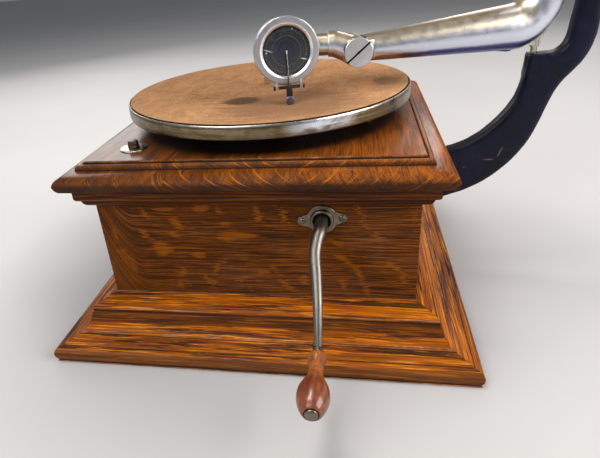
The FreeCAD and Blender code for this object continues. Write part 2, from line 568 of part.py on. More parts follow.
bed = bed.removeSplitter()
node("motor_bedplate", bed)
low = prism([(-74, -72), (74, -76), (80, 126), (-70, 118)], 14, 18)
low = rounded(low, lambda e: abs(e.tangentAt(e.FirstParameter).z) > 0.99, 10)
low = fuse(low, cyl(9, 0, 0, 18, 25), cyl(7, INT[0], INT[1], 18, 22), cyl(7, GOV[0], GOV[1], 18, 22),
           cyl(9, BAR[0], BAR[1], 18, 29))
low = cut(low, cyl(4.0 + CLR, 0, 0, 19.0, 30), cyl(2.5 + CLR, INT[0], INT[1], 10, 30),
          cyl(1.6 + CLR, GOV[0], GOV[1], 10, 30), cyl(5.0 + CLR, BAR[0], BAR[1], 10, 30))
node("motor_lower_plate", low)
PIL = [(-62, -30), (64, -38), (-58, 78), (70, 90)]
node("motor_pillars", *[cyl(5.0, x, y, 18, 158) for x, y in PIL])
bolts = []
for x, y in HANG:
    b = fuse(cyl(3.0, x, y, 150.5, 202.0), turn_z([(0, Z_DECK), (7.0, Z_DECK), (6.8, 202.6), (4.5, 203.8), (0, 204.2)], x, y),
             cyl(5.6, x, y, 152.0, 157.6))
    bolts.append(cut(b, box(x - 8, x + 8, y - 0.7, y + 0.7, 202.9, 206)))
node("motor_bolts", *bolts)
node("motor_grommets", *[turn_z([(3.2, 163), (10, 163), (10.6, 167), (9.2, 174), (10.6, 181), (10, Z_DECKU), (3.2, Z_DECKU)],
                                x, y) for x, y in HANG])
# speed lever: leather pad below the friction disc, peg below the knob's face cam
lv = fuse(box(26, LK - 2.5, -3, 3, 143, 147), box(26, 29, -3.4, 3.4, 86, 147), box(11, 29, -3.4, 3.4, 86, 88.2),
          cyl(2.8, 12.2, 0, 88.0, 89.6), cyl(4.6, 70, 0, 141.0, 149.0).common(box(60, 80, -3, 3, 140, 150)),
          cyl(1.2, LK - 4.5, 0, 146.0, 167.2), cyl(2.4, LK - 4.5, 0, 146.0, 158.0))
lv = cut(lv, cyly(1.5 + CLR, 70, -9, 9, 145.0))
lv.rotate(V(0, 0, 0), Z, LA)
lv.translate(V(GOV[0], GOV[1], 0))
node("speed_lever", lv)

# ------------------------------------------------------ crank
# the shaft leaves the bore, the arm sweeps out and down, the handle lies along X
def arc_pts(pts, n=10):
    """Catmull-Rom through (x, z, r) points."""
    out = []
    P_ = [pts[0]] + pts + [pts[-1]]
    for i in range(1, len(P_) - 2):
        for k in range(n):
            t = k / float(n)
            q = []
            for c in range(3):
                p0, p1, p2, p3 = P_[i - 1][c], P_[i][c], P_[i + 1][c], P_[i + 2][c]
                q.append(0.5 * ((2 * p1) + (-p0 + p2) * t + (2 * p0 - 5 * p1 + 4 * p2 - p3) * t * t
                                + (-p0 + 3 * p1 - 3 * p2 + p3) * t ** 3))
            out.append(tuple(q))
    out.append(tuple(pts[-1]))
    return out


cr = [(140.0, 140.4, 5.9), (152.0, 140.4, 5.9), (163.0, 138.6, 5.7), (173.0, 133.2, 5.4), (184.0, 124.0, 5.3),
      (199.0, 111.0, 4.7), (214.0, 96.0, 4.2), (224.5, 82.5, 3.8), (231.5, 72.0, 3.5), (236.2, 64.4, 3.4)]
spine = arc_pts(cr, 2)
secs = []
for i, (x, z, r) in enumerate(spine):
    a = spine[max(0, i - 1)]
    b = spine[min(len(spine) - 1, i + 1)]
    d = V(b[0] - a[0], 0, b[1] - a[1])
    d.normalize()
    if i == 0:
        d = V(1, 0, 0)
    secs.append(Part.Wire([Part.makeCircle(r, V(x, CY, z), d)]))
arm = Part.makeLoft(secs, True, False)
hz = CZ - CR_R
stemc = cylx(5.9, 129.0, 141.0, CY, CZ)
hpin = cylx(2.9, CRANK_X0 - 2, 305.0, CY, hz)
hub_ = fuse(Part.makeSphere(4.4, V(235.0, CY, hz)), cylx(4.4, 234.0, 238.6, CY, hz))
rivet = turn_x([(304.4, 0), (304.4, 5.2), (305.2, 5.0), (306.2, 3.2), (306.6, 0)], CY, hz)
crank = arm.fuse([stemc, hpin, hub_, rivet])
node("crank_arm", crank)
ferr = turn_x([(239.9, 2.96), (239.9, 5.0), (243.6, 5.2), (243.6, 2.96)], CY, hz)
node("handle_ferrule", ferr)
hp = [(243.7, 2.96), (243.7, 6.2), (244.8, 7.4), (246.8, 8.0), (249.2, 7.8), (251.6, 7.2), (254.0, 6.6), (258.0, 6.1),
      (262.5, 5.9), (266.5, 6.4), (271.0, 7.9), (276.0, 10.0), (281.0, 11.8), (286.0, 12.7), (290.5, 12.6),
      (295.0, 11.7), (299.0, 10.3), (302.0, 8.8), (303.9, 7.4), (304.6, 6.4), (304.2, 5.6), (303.0, 5.4), (303.0, 2.96)]
node("crank_handle", turn_x(hp, CY, hz))

# ------------------------------------------------------ tone arm (local frame)
# x runs from the pivot to the soundbox, y towards the crank side, z up
WT = 1.5
SL = math.tan(math.radians(1.87))
RB = 30.0
r_b, r_e = 20.9, 11.4
BEND = 88.13
p0 = (RB * (1 - math.cos(math.radians(BEND))), 0, 277.57)
p1 = (HUB_D, 0, 277.57 - (HUB_D - p0[0]) * SL)
ZB = p0[2] + RB * math.sin(math.radians(BEND))


def bend(rr):
    f = Part.Face(Part.Wire([Part.makeCircle(rr, V(0, 0, ZB), Z)]))
    return f.revolve(V(RB, 0, ZB), V(0, -1, 0), BEND)


outer = fuse(conerod(r_b, r_e, p0, p1), bend(r_b),
             Part.makeCone(r_b, 27.0, 330.2 - ZB, V(0, 0, ZB), Z), Part.makeCone(27.0, 28.0, 5.8, V(0, 0, 330.2), Z),
             cyl(28.0, 0, 0, 336.0, 358.0))
outer = cut(outer, cyly(14.2, HUB_D, -4.1, 40, HUB_Z))
hub = cyly(13.9, HUB_D, -15.5, -4.2, HUB_Z)
outer = outer.fuse(hub)
strip = [(50.0, 258.2)]
for i in range(0, 11):
    a = math.radians(268 - i * 8.6)
    strip.append((RB + (RB + r_b + 1.3) * math.cos(a), ZB + (RB + r_b + 1.3) * math.sin(a)))
strip += [(-22.9, 313.0), (-20.4, 313.0), (-18.6, 301.0), (-10.0, 280.0), (6.0, 266.5), (22.0, 261.0), (50.0, 260.4)]
spine_strip = prism_xz(strip, -1.4, 1.4)
icone = conerod(r_b - WT, r_e - WT, p0, p1)
icone = cut(icone, cyly(15.8, HUB_D, -5.7, 40, HUB_Z))
inner_c = fuse(icone, bend(r_b - WT), Part.makeCone(r_b - WT, 27.0 - WT, 330.2 - ZB, V(0, 0, ZB), Z),
               Part.makeCone(27.0 - WT, 28.0 - WT, 5.8, V(0, 0, 330.2), Z), cyl(28.0 - WT, 0, 0, 336.0, 360.0))
inner_h = cyly(11.0, HUB_D, -14.0, -4.0, HUB_Z)
tube = cut(outer.fuse(spine_strip), inner_c, inner_h)
post = cut(cyly(5.0, HUB_D, -14.5, -5.4, HUB_Z), cyly(3.0, HUB_D, -20, 20, HUB_Z))
tube = cut(tube.fuse(post), cyly(3.0, HUB_D, -16, 20, HUB_Z))
# the end of the arm is relieved where the elbow's neck swings up to TILT degrees
TILT = 52.0
A_, B_ = (183.0, 4.6, 273.2), (199.5, 2.2, SB_Z)
relief = []
for a in (30, 34, 38, 42, 46, 50, TILT + 1.5):
    q = conerod(13.1, 12.0, A_, B_)
    q.rotate(V(HUB_D, 0, HUB_Z), Y, -a)
    relief.append(q)
relief = cut(fuse(*relief), cyly(14.3, HUB_D, -40, -3.85, HUB_Z))
relief = relief.common(box(HUB_D - 20, HUB_D - 4, -30, 30, HUB_Z + 6, HUB_Z + 30))
tube = cut(tube, relief)


def to_arm(*shapes):
    res = []
    for s in shapes:
        s = s.copy()
        s.rotate(V(0, 0, 0), Z, -90 + TH)
        s.translate(V(0, PIV, AZ))
        res.append(s)
    return res


# pivot pin and its lug under the bend
lugp = prism_xz([(10.5, 263.0), (7.0, 259.6), (3.6, 258.6), (-3.0, 258.6), (-4.2, 262.5), (-7.2, 270.5), (-6.0, 276.0), (-2.0, 276.0),
                 (8.0, 270.0)], -3.6, 3.6)
lugp = lugp.fuse(cyl(4.2, 0, 0, 257.2, 266.0))
keep = cut(lugp, outer, spine_strip)
pinp = fuse(max(keep.Solids, key=lambda s: s.Volume), cyl(3.0, 0, 0, 240.0, 260.0))
node("arm_pivot_pin", *to_arm(pinp))
node("tone_arm_tube", *to_arm(tube))

# large slotted cap screw on the elbow hinge
cap = turn_y([(15.25, 0), (15.25, 13.3), (16.1, 13.65), (17.4, 13.5), (17.9, 12.9), (18.0, 0)], HUB_D, HUB_Z)
slot = box(-20, 20, 16.5, 20, -0.9, 0.9)
slot.rotate(V(0, 0, 0), Y, 38)
slot.translate(V(HUB_D, 0, HUB_Z))
cap = cut(cap, slot, Part.makeSphere(1.6, V(HUB_D, 18.4, HUB_Z)))
node("elbow_cap_screw", *to_arm(cap.fuse(cyly(3.0, HUB_D, -14.0, 15.3, HUB_Z))))

# ------------------------------------------------------ elbow
SLP = -0.2424
barrel_o = cyly(13.65, HUB_D, -3.8, 15.0, HUB_Z)
barrel_o = rounded(barrel_o, lambda e: abs(e.CenterOfMass.y - 15.0) < 1e-6 and e.Length > 50, 0.6)
hd = V(1, SLP, 0)
hd.normalize()
Bp = V(*B_)
S1 = Bp + hd * 6.0
neck_o = fuse(conerod(12.6, 11.5, A_, B_), rod(11.5, B_, tuple(S1)), Part.makeSphere(11.5, Bp))
neck_o = cut(neck_o, cyly(14.3, HUB_D, -40, -3.85, HUB_Z))
gate = box(HUB_D - 14, HUB_D + 13.65, -20, 30, HUB_Z - 40, HUB_Z + 40)
neck_o = cut(neck_o, box(HUB_D - 30, HUB_D, -20, 40, HUB_Z - 40, HUB_Z + 60))
neck_o = neck_o.common(box(HUB_D - 30, HUB_D + 60, -40, 14.9, HUB_Z - 60, HUB_Z + 60))
cav_n = fuse(conerod(10.6, 9.6, A_, B_), Part.makeSphere(9.6, Bp))
cav_n = cut(cav_n, cyly(15.8, HUB_D, -40, -2.35, HUB_Z))
cav_b = cut(cyly(11.6, HUB_D, -4.0, 12.6, HUB_Z))
elb = cut(barrel_o.fuse(neck_o), cav_n, cav_b, cyly(3.0 + CLR + 0.02, HUB_D, -20, 20, HUB_Z),
          rod(10.0, tuple(Bp), tuple(S1 + hd * 3)))
elb = max(elb.Solids, key=lambda s: s.Volume)
node("elbow_casting", *to_arm(elb))
# gooseneck: straight run behind the soundbox, then a bend into its back
RG = 11.0
th_ = math.atan(-SLP)
s1d, s1o = SB_D - (RG * math.sin(th_) + RG), None
t_ = (s1d - Bp.x) / hd.x
s1o = Bp.y + hd.y * t_
end_o = s1o + RG * math.cos(th_)
def goose(rr):
    st = Bp + hd * 0.2
    en = V(s1d, s1o, SB_Z)
    a = Part.makeCylinder(rr, (en - st).Length, st, hd)
    f = Part.Face(Part.Wire([Part.makeCircle(rr, en, hd)]))
    cen = V(SB_D - RG, end_o, SB_Z)
    b = f.revolve(cen, Z, 90 + math.degrees(th_))
    c = Part.makeCylinder(rr, 10.0 - end_o, V(SB_D, end_o, SB_Z), Y)
    return a.fuse([b, c])
gn = goose(10.0).cut(goose(8.7))
gn = cut(gn, cyly(8.7, SB_D, 9.0, 12.0, SB_Z), rod(8.7, tuple(Bp - hd * 2), tuple(Bp + hd * 2)))
node("gooseneck_tube", *to_arm(gn))

# ------------------------------------------------------ soundbox
sh = turn_y([(6.4, 13.4), (6.4, 19.5), (8.9, 28.0), (9.7, 28.8), (15.4, 28.8), (15.4, 24.4), (14.0, 24.4), (14.0, 21.9), (10.6, 21.6), (8.4, 18.6),
             (8.4, 13.4)], SB_D, SB_Z)
node("soundbox_shell", *to_arm(sh))
bush = turn_y([(5.2, 10.0 + CLR), (5.2, 15.2), (6.4, 15.2), (6.4, 13.4), (9.2, 13.4), (9.2, 10.0 + CLR)], SB_D, SB_Z)
g1 = turn_y([(14.0, 22.0), (14.0, 24.2), (15.2, 24.2), (15.2, 22.0)], SB_D, SB_Z)
g2 = turn_y([(15.6, 22.0), (15.6, 24.2), (16.6, 24.2), (16.6, 22.0)], SB_D, SB_Z)
node("soundbox_rubbers", *to_arm(bush, g1, g2))
node("diaphragm", *to_arm(turn_y([(15.2, 0), (15.2, 24.1), (15.6, 24.1), (15.6, 0)], SB_D, SB_Z)))
fr = turn_y([(16.6, 21.9), (17.0, 21.9), (18.3, 23.6), (18.6, 24.3), (18.3, 29.2), (17.6, 30.0), (12.6, 30.0),
             (12.2, 29.6), (12.2, 28.8), (15.4, 28.8), (15.4, 24.4), (16.6, 24.4)], SB_D, SB_Z)
PZ = 247.4 - AZ                           # rocking axis of the stylus bar
lugs = []
for s in (1, -1):
    lg = box(SB_D + s * 11.4 - 1.2, SB_D + s * 11.4 + 1.2, 16.8, 22.0, PZ - 1.9, PZ + 1.9)
    lg = lg.fuse(prism_yz([(16.8, PZ + 1.6), (19.6, PZ + 1.6), (18.2, PZ + 7.6), (15.8, PZ + 7.6)],
                          SB_D + s * 11.4 - 1.2, SB_D + s * 11.4 + 1.2))
    lg = cut(lg, cyly(29.6, SB_D, 10, 18.5, SB_Z))
    lg = max(lg.Solids, key=lambda q: q.Volume)
    lugs.append(lg)
fr = fr.fuse(lugs)
fr = cut(fr, rod(1.25, (SB_D - 20, 20.2, PZ), (SB_D + 20, 20.2, PZ)))
node("soundbox_face_ring", *to_arm(fr))
scr = []
for s in (1, -1):
    a = rod(1.25, (SB_D + s * 9.9, 20.2, PZ), (SB_D + s * 14.4, 20.2, PZ))
    b = rod(2.1, (SB_D + s * 12.7, 20.2, PZ), (SB_D + s * 14.6, 20.2, PZ))
    scr.append(a.fuse(b).cut(box(SB_D + s * 14.0 - 0.7 + s * 0.7, SB_D + s * 14.0 + 0.7 + s * 0.7, 15, 25, PZ - 0.3, PZ + 0.3)))
node("stylus_pivot_screws", *to_arm(*scr))
trun = rod(1.6, (SB_D - 9.6, 20.2, PZ), (SB_D + 9.6, 20.2, PZ))
chuck = box(SB_D - 2.75, SB_D + 2.75, 18.9, 23.0, PZ - 14.2, PZ + 1.6)
chuck = rounded(chuck, lambda e: abs(e.tangentAt(e.FirstParameter).z) > 0.99, 1.0)
wings = box(SB_D - 7.4, SB_D + 7.4, 19.0, 21.8, PZ - 1.1, PZ + 1.1)
bar_ = conerod(1.0, 0.6, (SB_D, 21.3, PZ + 1.1), (SB_D + 0.2, 17.4, 280.4))
tip = rod(0.6, (SB_D + 0.2, 17.4, 280.2), (SB_D + 0.2, 16.25, 280.2))
stb = chuck.fuse([trun, wings, bar_, tip])
stb = cut(stb, rod(0.85, (SB_D, 21.0, PZ - 17.4), (SB_D, 21.0, PZ - 4.2)))
NSZ = 236.05 - AZ
stb = cut(stb, cyly(1.6 + CLR, SB_D + 0.4, 21.9, 25, NSZ))
node("stylus_bar", *to_arm(max(stb.Solids, key=lambda q: q.Volume)))
ns = fuse(cyly(1.6, SB_D + 0.4, 22.0, 24.0, NSZ), turn_y([(23.3, 0), (23.3, 3.4), (23.9, 4.1), (26.2, 4.1), (26.8, 3.5), (27.0, 0)],
                                                      SB_D + 0.4, NSZ))
for i in range(16):
    a = math.radians(22.5 * i)
    ns = cut(ns, cyly(0.45, SB_D + 0.4 + 4.25 * math.cos(a), 23, 28, NSZ + 4.25 * math.sin(a)))
node("needle_screw", *to_arm(ns))

# ------------------------------------------------------ horn
HZ, HB = 400.0, 60.0
turn = 90.0 - HORN_A
y_c = PIV - HB


def horn_bend(rr):
    f = Part.Face(Part.Wire([Part.makeCircle(rr, V(0, PIV, HZ), Z)]))
    return f.revolve(V(0, y_c, HZ), X, turn)


tr = math.radians(turn)
H0 = V(0, y_c + HB * math.cos(tr), HZ + HB * math.sin(tr))
HA = V(0, -math.cos(math.radians(HORN_A)), math.sin(math.radians(HORN_A)))


def to_horn(s):
    s = s.copy()
    s.rotate(V(0, 0, 0), X, turn)
    s.translate(H0)
    return s


eo = fuse(cyl(30.7, 0, PIV, 346.0, HZ), horn_bend(30.7), to_horn(cyl(30.7, 0, 0, 0, 20)),
          turn_z([(30.0, 374.4), (33.4, 374.4), (34.2, 376.4), (33.4, 378.4), (30.0, 378.4)], 0, PIV))
ei = horn_bend(28.6).fuse([cyl(28.6, 0, PIV, 345.0, HZ), to_horn(cyl(28.6, 0, 0, 0, 21))])
eo = cut(eo, ei)
node("horn_elbow", eo)


def turn_h(prof):
    """Revolve (s, r) about the horn's axis."""
    f = Part.Face(wire([(r, 0, s) for s, r in prof]))
    return to_horn(f.revolve(V(0, 0, 0), Z, 360))


nk = [(1, 30.7), (20, 30.7), (30, 32.4), (60, 36.4), (90, 40.7), (112, 44.8), (124, 48.0), (134, 50.55), (146, 52.8)]
nko = [(146, 53.8), (134, 51.55), (124, 49.0), (112, 45.8), (90, 41.7), (60, 37.4), (30, 33.4), (20, 31.7), (16, 31.7),
       (15, 34.6), (12, 35.8), (5, 35.8), (2, 34.6), (1, 32.6)]
node("horn_neck", turn_h(nk + nko))
ST = [(134, 51.6, 0.0), (170, 58.4, 0.1), (220, 69.6, 0.22), (270, 83.2, 0.36), (320, 100.4, 0.52), (370, 123.4, 0.68),
      (415, 151.0, 0.82), (455, 183.0, 0.92), (490, 219.0, 1.0), (516, 252.0, 1.0), (528, 270.0, 1.0)]
TP = 0.9
pets = []
hs = math.pi / NPET


def petal(off):
    secs_ = []
    for s, r, f in ST:
        gap = 0.35 / r
        a0_, a1_ = -hs + gap, hs - gap
        rm = r * (1 + 0.045 * f)
        o = [V(r * math.cos(a), r * math.sin(a), s) for a in (a0_, a1_)]
        mid = V(rm, 0, s)
        ro, rmo = r + TP, rm + TP
        o2 = [V(ro * math.cos(a), ro * math.sin(a), s) for a in (a0_, a1_)]
        mid2 = V(rmo, 0, s)
        secs_.append(Part.Wire([Part.Arc(o[0], mid, o[1]).toShape(), Part.makeLine(o[1], o2[1]),
                                Part.Arc(o2[1], mid2, o2[0]).toShape(), Part.makeLine(o2[0], o[0])]))
    return Part.makeLoft(secs_, True, False)


base_pet = petal(0)
s_e, r_e_, f_e = ST[-1]
rm_ = r_e_ * (1 + 0.045 * f_e)
gap = 0.9 / r_e_
q0 = V(r_e_ * math.cos(-hs + gap), r_e_ * math.sin(-hs + gap), s_e + 1.6)
q1 = V(r_e_ * math.cos(hs - gap), r_e_ * math.sin(hs - gap), s_e + 1.6)
qm = V(rm_ + 0.4, 0, s_e + 1.6)
arc = Part.Arc(q0, qm, q1).toShape()
tg = arc.tangentAt(arc.FirstParameter)
c_ = arc.Curve.Center
face = Part.Face(Part.Wire([Part.makeCircle(2.2, q0, tg)]))
sweep_deg = math.degrees(arc.LastParameter - arc.FirstParameter)
bead = face.revolve(c_, arc.Curve.Axis, sweep_deg)
base_pet = base_pet.fuse(bead)
for k in range(NPET):
    a = 360.0 / NPET * (k + 0.5)
    q = base_pet.copy()
    q.rotate(V(0, 0, 0), Z, a)
    pets.append(to_horn(q))
node("horn_petals", *pets)


def rib(k):
    a = 2 * math.pi * k / NPET + 2 * math.pi / NPET
    secs_ = []
    for s, r, f in ST[1:]:
        e = V(math.cos(a), math.sin(a), 0)
        t = V(-math.sin(a), math.cos(a), 0)
        r0, r1, h = r + TP + 0.05 + 0.15 * f, r + TP + 3.4, 0.9
        pz = V(0, 0, s)
        secs_.append(wire([tuple(pz + e * r0 - t * h), tuple(pz + e * r0 + t * h), tuple(pz + e * r1 + t * h * 0.7),
                           tuple(pz + e * r1 - t * h * 0.7)]))
    return to_horn(Part.makeLoft(secs_, True, False).common(box(-400, 400, -400, 400, 0, 526.8)))


node("horn_seam_ribs", *[rib(k) for k in range(NPET)])

# -------------------------------------------------------------------- export
os.makedirs("parts", exist_ok=True)
bad = []
for name, solids in OUT.items():
    for s in solids:
        if not s.isValid() or s.Volume < 1e-3:
            bad.append((name, round(s.Volume, 3), s.isValid()))
    shape = solids[0] if len(solids) == 1 else Part.Compound(solids)
    shape.exportStep("parts/%s.step" % name)
print(len(OUT), "nodes")
print("invalid:", bad)
print("gooseneck end offset %.2f start bend %.2f %.2f" % (end_o, s1d, s1o))
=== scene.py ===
import bpy, bmesh
import math, random
from mathutils import Vector, Matrix, Euler, noise


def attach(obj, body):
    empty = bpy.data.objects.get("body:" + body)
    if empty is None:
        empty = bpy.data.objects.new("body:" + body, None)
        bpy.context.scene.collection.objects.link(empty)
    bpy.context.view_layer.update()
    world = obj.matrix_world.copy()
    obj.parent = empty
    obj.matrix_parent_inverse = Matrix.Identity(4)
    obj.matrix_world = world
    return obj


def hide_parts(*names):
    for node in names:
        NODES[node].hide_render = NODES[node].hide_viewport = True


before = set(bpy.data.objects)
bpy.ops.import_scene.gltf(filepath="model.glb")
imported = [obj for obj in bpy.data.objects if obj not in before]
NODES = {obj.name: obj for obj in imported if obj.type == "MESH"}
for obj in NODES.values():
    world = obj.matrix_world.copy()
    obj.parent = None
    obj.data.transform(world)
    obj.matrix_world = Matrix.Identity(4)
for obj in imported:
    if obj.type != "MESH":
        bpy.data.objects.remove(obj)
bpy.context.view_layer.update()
MM = 0.001
rnd = random.Random(7)

# ------------------------------------------------------------------ dimensions (mm)
PX, PY = 204.0, 210.0
BX, BY = 147.6, 153.6
LX, LY = 172.8, 178.8
Z_DECKU, Z_DECK = 184.8, 200.8
R_TT = 152.4
Z_RIM0, Z_RIM1 = 217.8, 230.9
Z_WEB1 = 229.4
R_FELT, Z_FELT = 149.9, 232.3
CY, CZ = 67.0, 140.4
PIV, TH = 267.5, 16.0
HUB_D, HUB_Z = 180.4, 272.0
SB_D, SB_Z = 247.1, 279.9
KNOB = (114.0, -117.6)
ARM = Matrix.Translation((0, PIV, -1.2)) @ Matrix.Rotation(math.radians(-90 + TH), 4, "Z")

plinth_prof = [(56.4, 0.0), (6.0, 0), (2.6, 1.6), (0.8, 5.0), (0.0, 9.2), (0.5, 12.6), (2.4, 15.3), (5.4, 16.6),
               (8.2, 16.5), (8.9, 17.6), (22.2, 21.6), (24.6, 22.5), (56.4, 22.5)]
base_prof = [(56.4, 22.5), (24.6, 22.5), (27.2, 24.6), (29.6, 27.8), (31.6, 31.8), (33.2, 36.2), (34.6, 39.6),
             (35.4, 40.6), (35.5, 43.2), (36.4, 46.0), (38.4, 48.1), (41.2, 49.0), (51.6, 52.8),
             (54.4, 53.8), (56.4, 55.6)]
bed_prof = [(25.2, 156.4), (21.0, 156.9), (18.0, 159.0), (16.4, 162.0), (16.0, 163.8), (13.4, 164.6),
            (11.6, 166.4), (11.4, 168.0), (11.4, 176.4), (25.2, 176.4)]
lid_prof = [(7.0, 176.4), (3.8, 177.4), (1.4, 180.0), (0.2, 183.2), (0.0, 185.2),
            (1.0, 187.8), (3.4, 190.2), (7.0, 192.2), (11.6, 193.5), (15.6, 193.9), (17.2, 193.9),
            (17.5, 195.6), (18.3, 197.7), (20.0, 198.9), (21.8, 198.7), (22.8, 197.7), (23.8, 197.7),
            (23.9, 200.2), (24.6, 200.8)]


# ------------------------------------------------------------------ node-tree helper
SB_AT = (tuple(ARM @ Vector((SB_D, 0.0, SB_Z)) * MM), tuple(ARM.to_3x3() @ Vector((0.0, 1.0, 0.0))))
CAP_AT = (tuple(ARM @ Vector((HUB_D, 0.0, HUB_Z)) * MM), SB_AT[1])


class Mat:
    """A material and short names for the nodes that make it."""

    def __init__(self, name):
        self.m = bpy.data.materials.new(name)
        self.m.use_nodes = True
        self.t = self.m.node_tree
        self.t.nodes.clear()
        self.out = self.t.nodes.new("ShaderNodeOutputMaterial")
        self.b = self.t.nodes.new("ShaderNodeBsdfPrincipled")
        self.t.links.new(self.b.outputs[0], self.out.inputs[0])

    def node(self, kind, **kw):
        n = self.t.nodes.new(kind)
        for k, v in kw.items():
            setattr(n, k, v)
        return n

    def put(self, sock, v):
        if isinstance(v, bpy.types.NodeSocket):
            self.t.links.new(v, sock)
        elif v is not None:
            if sock.type == "RGBA" and len(v) == 3:
                v = (*v, 1.0)
            sock.default_value = v

    def set(self, **kw):
        names = {"color": "Base Color", "rough": "Roughness", "metal": "Metallic", "normal": "Normal", "coat": "Coat Weight",
                 "coat_rough": "Coat Roughness", "sheen": "Sheen Weight", "sheen_rough": "Sheen Roughness", "sheen_tint": "Sheen Tint",
                 "ior": "IOR", "spec": "Specular IOR Level", "trans": "Transmission Weight", "alpha": "Alpha",
                 "aniso": "Anisotropic", "aniso_rot": "Anisotropic Rotation", "coat_normal": "Coat Normal", "tangent": "Tangent",
                 "emit": "Emission Color", "emit_s": "Emission Strength"}
        for k, v in kw.items():
            self.put(self.b.inputs[names[k]], v)
        return self

    def obj(self):
        return self.node("ShaderNodeTexCoord").outputs["Object"]

    def attr(self, name):
        return self.node("ShaderNodeAttribute", attribute_name=name).outputs["Vector"]

    def attrf(self, name):
        return self.node("ShaderNodeAttribute", attribute_name=name).outputs["Fac"]

    def vmul(self, v, s):
        n = self.node("ShaderNodeVectorMath", operation="MULTIPLY")
        self.put(n.inputs[0], v)
        self.put(n.inputs[1], s if isinstance(s, (tuple, list)) else (s, s, s) if not isinstance(s, bpy.types.NodeSocket) else s)
        return n.outputs[0]

    def vadd(self, v, s):
        n = self.node("ShaderNodeVectorMath", operation="ADD")
        self.put(n.inputs[0], v)
        self.put(n.inputs[1], s)
        return n.outputs[0]

    def xyz(self, v):
        n = self.node("ShaderNodeSeparateXYZ")
        self.put(n.inputs[0], v)
        return n.outputs[0], n.outputs[1], n.outputs[2]

    def comb(self, x, y, z):
        n = self.node("ShaderNodeCombineXYZ")
        for s, v in zip(n.inputs, (x, y, z)):
            self.put(s, v)
        return n.outputs[0]

    def noise(self, v, scale=1.0, detail=2.0, rough=0.5, dist=0.0, lac=2.0, color=False):
        n = self.node("ShaderNodeTexNoise", noise_dimensions="3D")
        self.put(n.inputs["Vector"], v)
        n.inputs["Scale"].default_value = scale
        n.inputs["Detail"].default_value = detail
        n.inputs["Roughness"].default_value = rough
        n.inputs["Distortion"].default_value = dist
        n.inputs["Lacunarity"].default_value = lac
        return n.outputs["Color" if color else "Fac"]

    def voro(self, v, scale=1.0, feature="F1", out="Distance", rand=1.0):
        n = self.node("ShaderNodeTexVoronoi", feature=feature)
        self.put(n.inputs["Vector"], v)
        n.inputs["Scale"].default_value = scale
        n.inputs["Randomness"].default_value = rand
        return n.outputs[out]

    def mr(self, v, a, b, c=0.0, d=1.0, smooth=False):
        n = self.node("ShaderNodeMapRange", interpolation_type="SMOOTHSTEP" if smooth else "LINEAR", clamp=True)
        self.put(n.inputs[0], v)
        for i, x in enumerate((a, b, c, d)):
            self.put(n.inputs[i + 1], x)
        return n.outputs[0]

    def math(self, op, a, b=None, c=None, clamp=False):
        n = self.node("ShaderNodeMath", operation=op, use_clamp=clamp)
        self.put(n.inputs[0], a)
        if b is not None:
            self.put(n.inputs[1], b)
        if c is not None:
            self.put(n.inputs[2], c)
        return n.outputs[0]

    def mul(self, a, b):
        return self.math("MULTIPLY", a, b)

    def add(self, a, b):
        return self.math("ADD", a, b)

    def mix(self, f, a, b, mode="MIX"):
        n = self.node("ShaderNodeMix", data_type="RGBA", blend_type=mode)
        n.clamp_factor = True
        self.put(n.inputs[0], f)
        self.put(n.inputs[6], a)
        self.put(n.inputs[7], b)
        return n.outputs[2]

    def mixf(self, f, a, b):
        n = self.node("ShaderNodeMix", data_type="FLOAT")
        self.put(n.inputs[0], f)
        self.put(n.inputs[2], a)
        self.put(n.inputs[3], b)
        return n.outputs[0]

    def ramp(self, f, stops):
        n = self.node("ShaderNodeValToRGB")
        self.put(n.inputs[0], f)
        e = n.color_ramp.elements
        while len(e) > 1:
            e.remove(e[-1])
        e[0].position, e[0].color = stops[0][0], (*stops[0][1], 1.0)
        for p, c in stops[1:]:
            x = e.new(p)
            x.color = (*c, 1.0)
        return n.outputs[0]

    def bump(self, h, dist, strength=1.0, normal=None):
        n = self.node("ShaderNodeBump")
        n.inputs["Strength"].default_value = strength
        n.inputs["Distance"].default_value = dist
        self.put(n.inputs["Height"], h)
        if normal is not None:
            self.put(n.inputs["Normal"], normal)
        return n.outputs[0]


# ------------------------------------------------------------------ materials
def grain_src(k, src):
    if src == "gc":
        return k.attr("gc")
    s = dict(zip("xyz", k.xyz(k.obj())))
    return k.vadd(k.comb(*[s[c] for c in src[0]]), src[1])


def edge_work(k, col, rough, pale=(0.60, 0.37, 0.24), grime_and_shade=(0.022, 0.013, 0.009), amount=0.75):
    """Rubbed arrises, and quirks darkened with dirt and painted shade, from the profile's own corners."""
    e = k.xyz(k.attr("ew"))
    n = k.noise(k.vmul(k.obj(), (46.0, 46.0, 46.0)), 1.0, 4.0, 0.7)
    n2 = k.noise(k.vmul(k.obj(), (170.0, 170.0, 170.0)), 1.0, 3.0, 0.65)
    wear = k.mul(k.mr(e[0], 0.25, 0.95), k.mul(k.mr(n, 0.42, 0.66, 0.12, 1.0), k.mr(n2, 0.35, 0.6, 0.35, 1.0)))
    # quirks: dirt and painted shade
    quirk_dirt_and_shade = k.mul(k.mr(e[1], 0.15, 0.85), k.mr(n2, 0.25, 0.6, 0.55, 1.0))
    col = k.mix(k.mul(wear, amount), col, pale)
    col = k.mix(quirk_dirt_and_shade, col, grime_and_shade)
    return col, k.add(rough, k.mul(quirk_dirt_and_shade, 0.3))


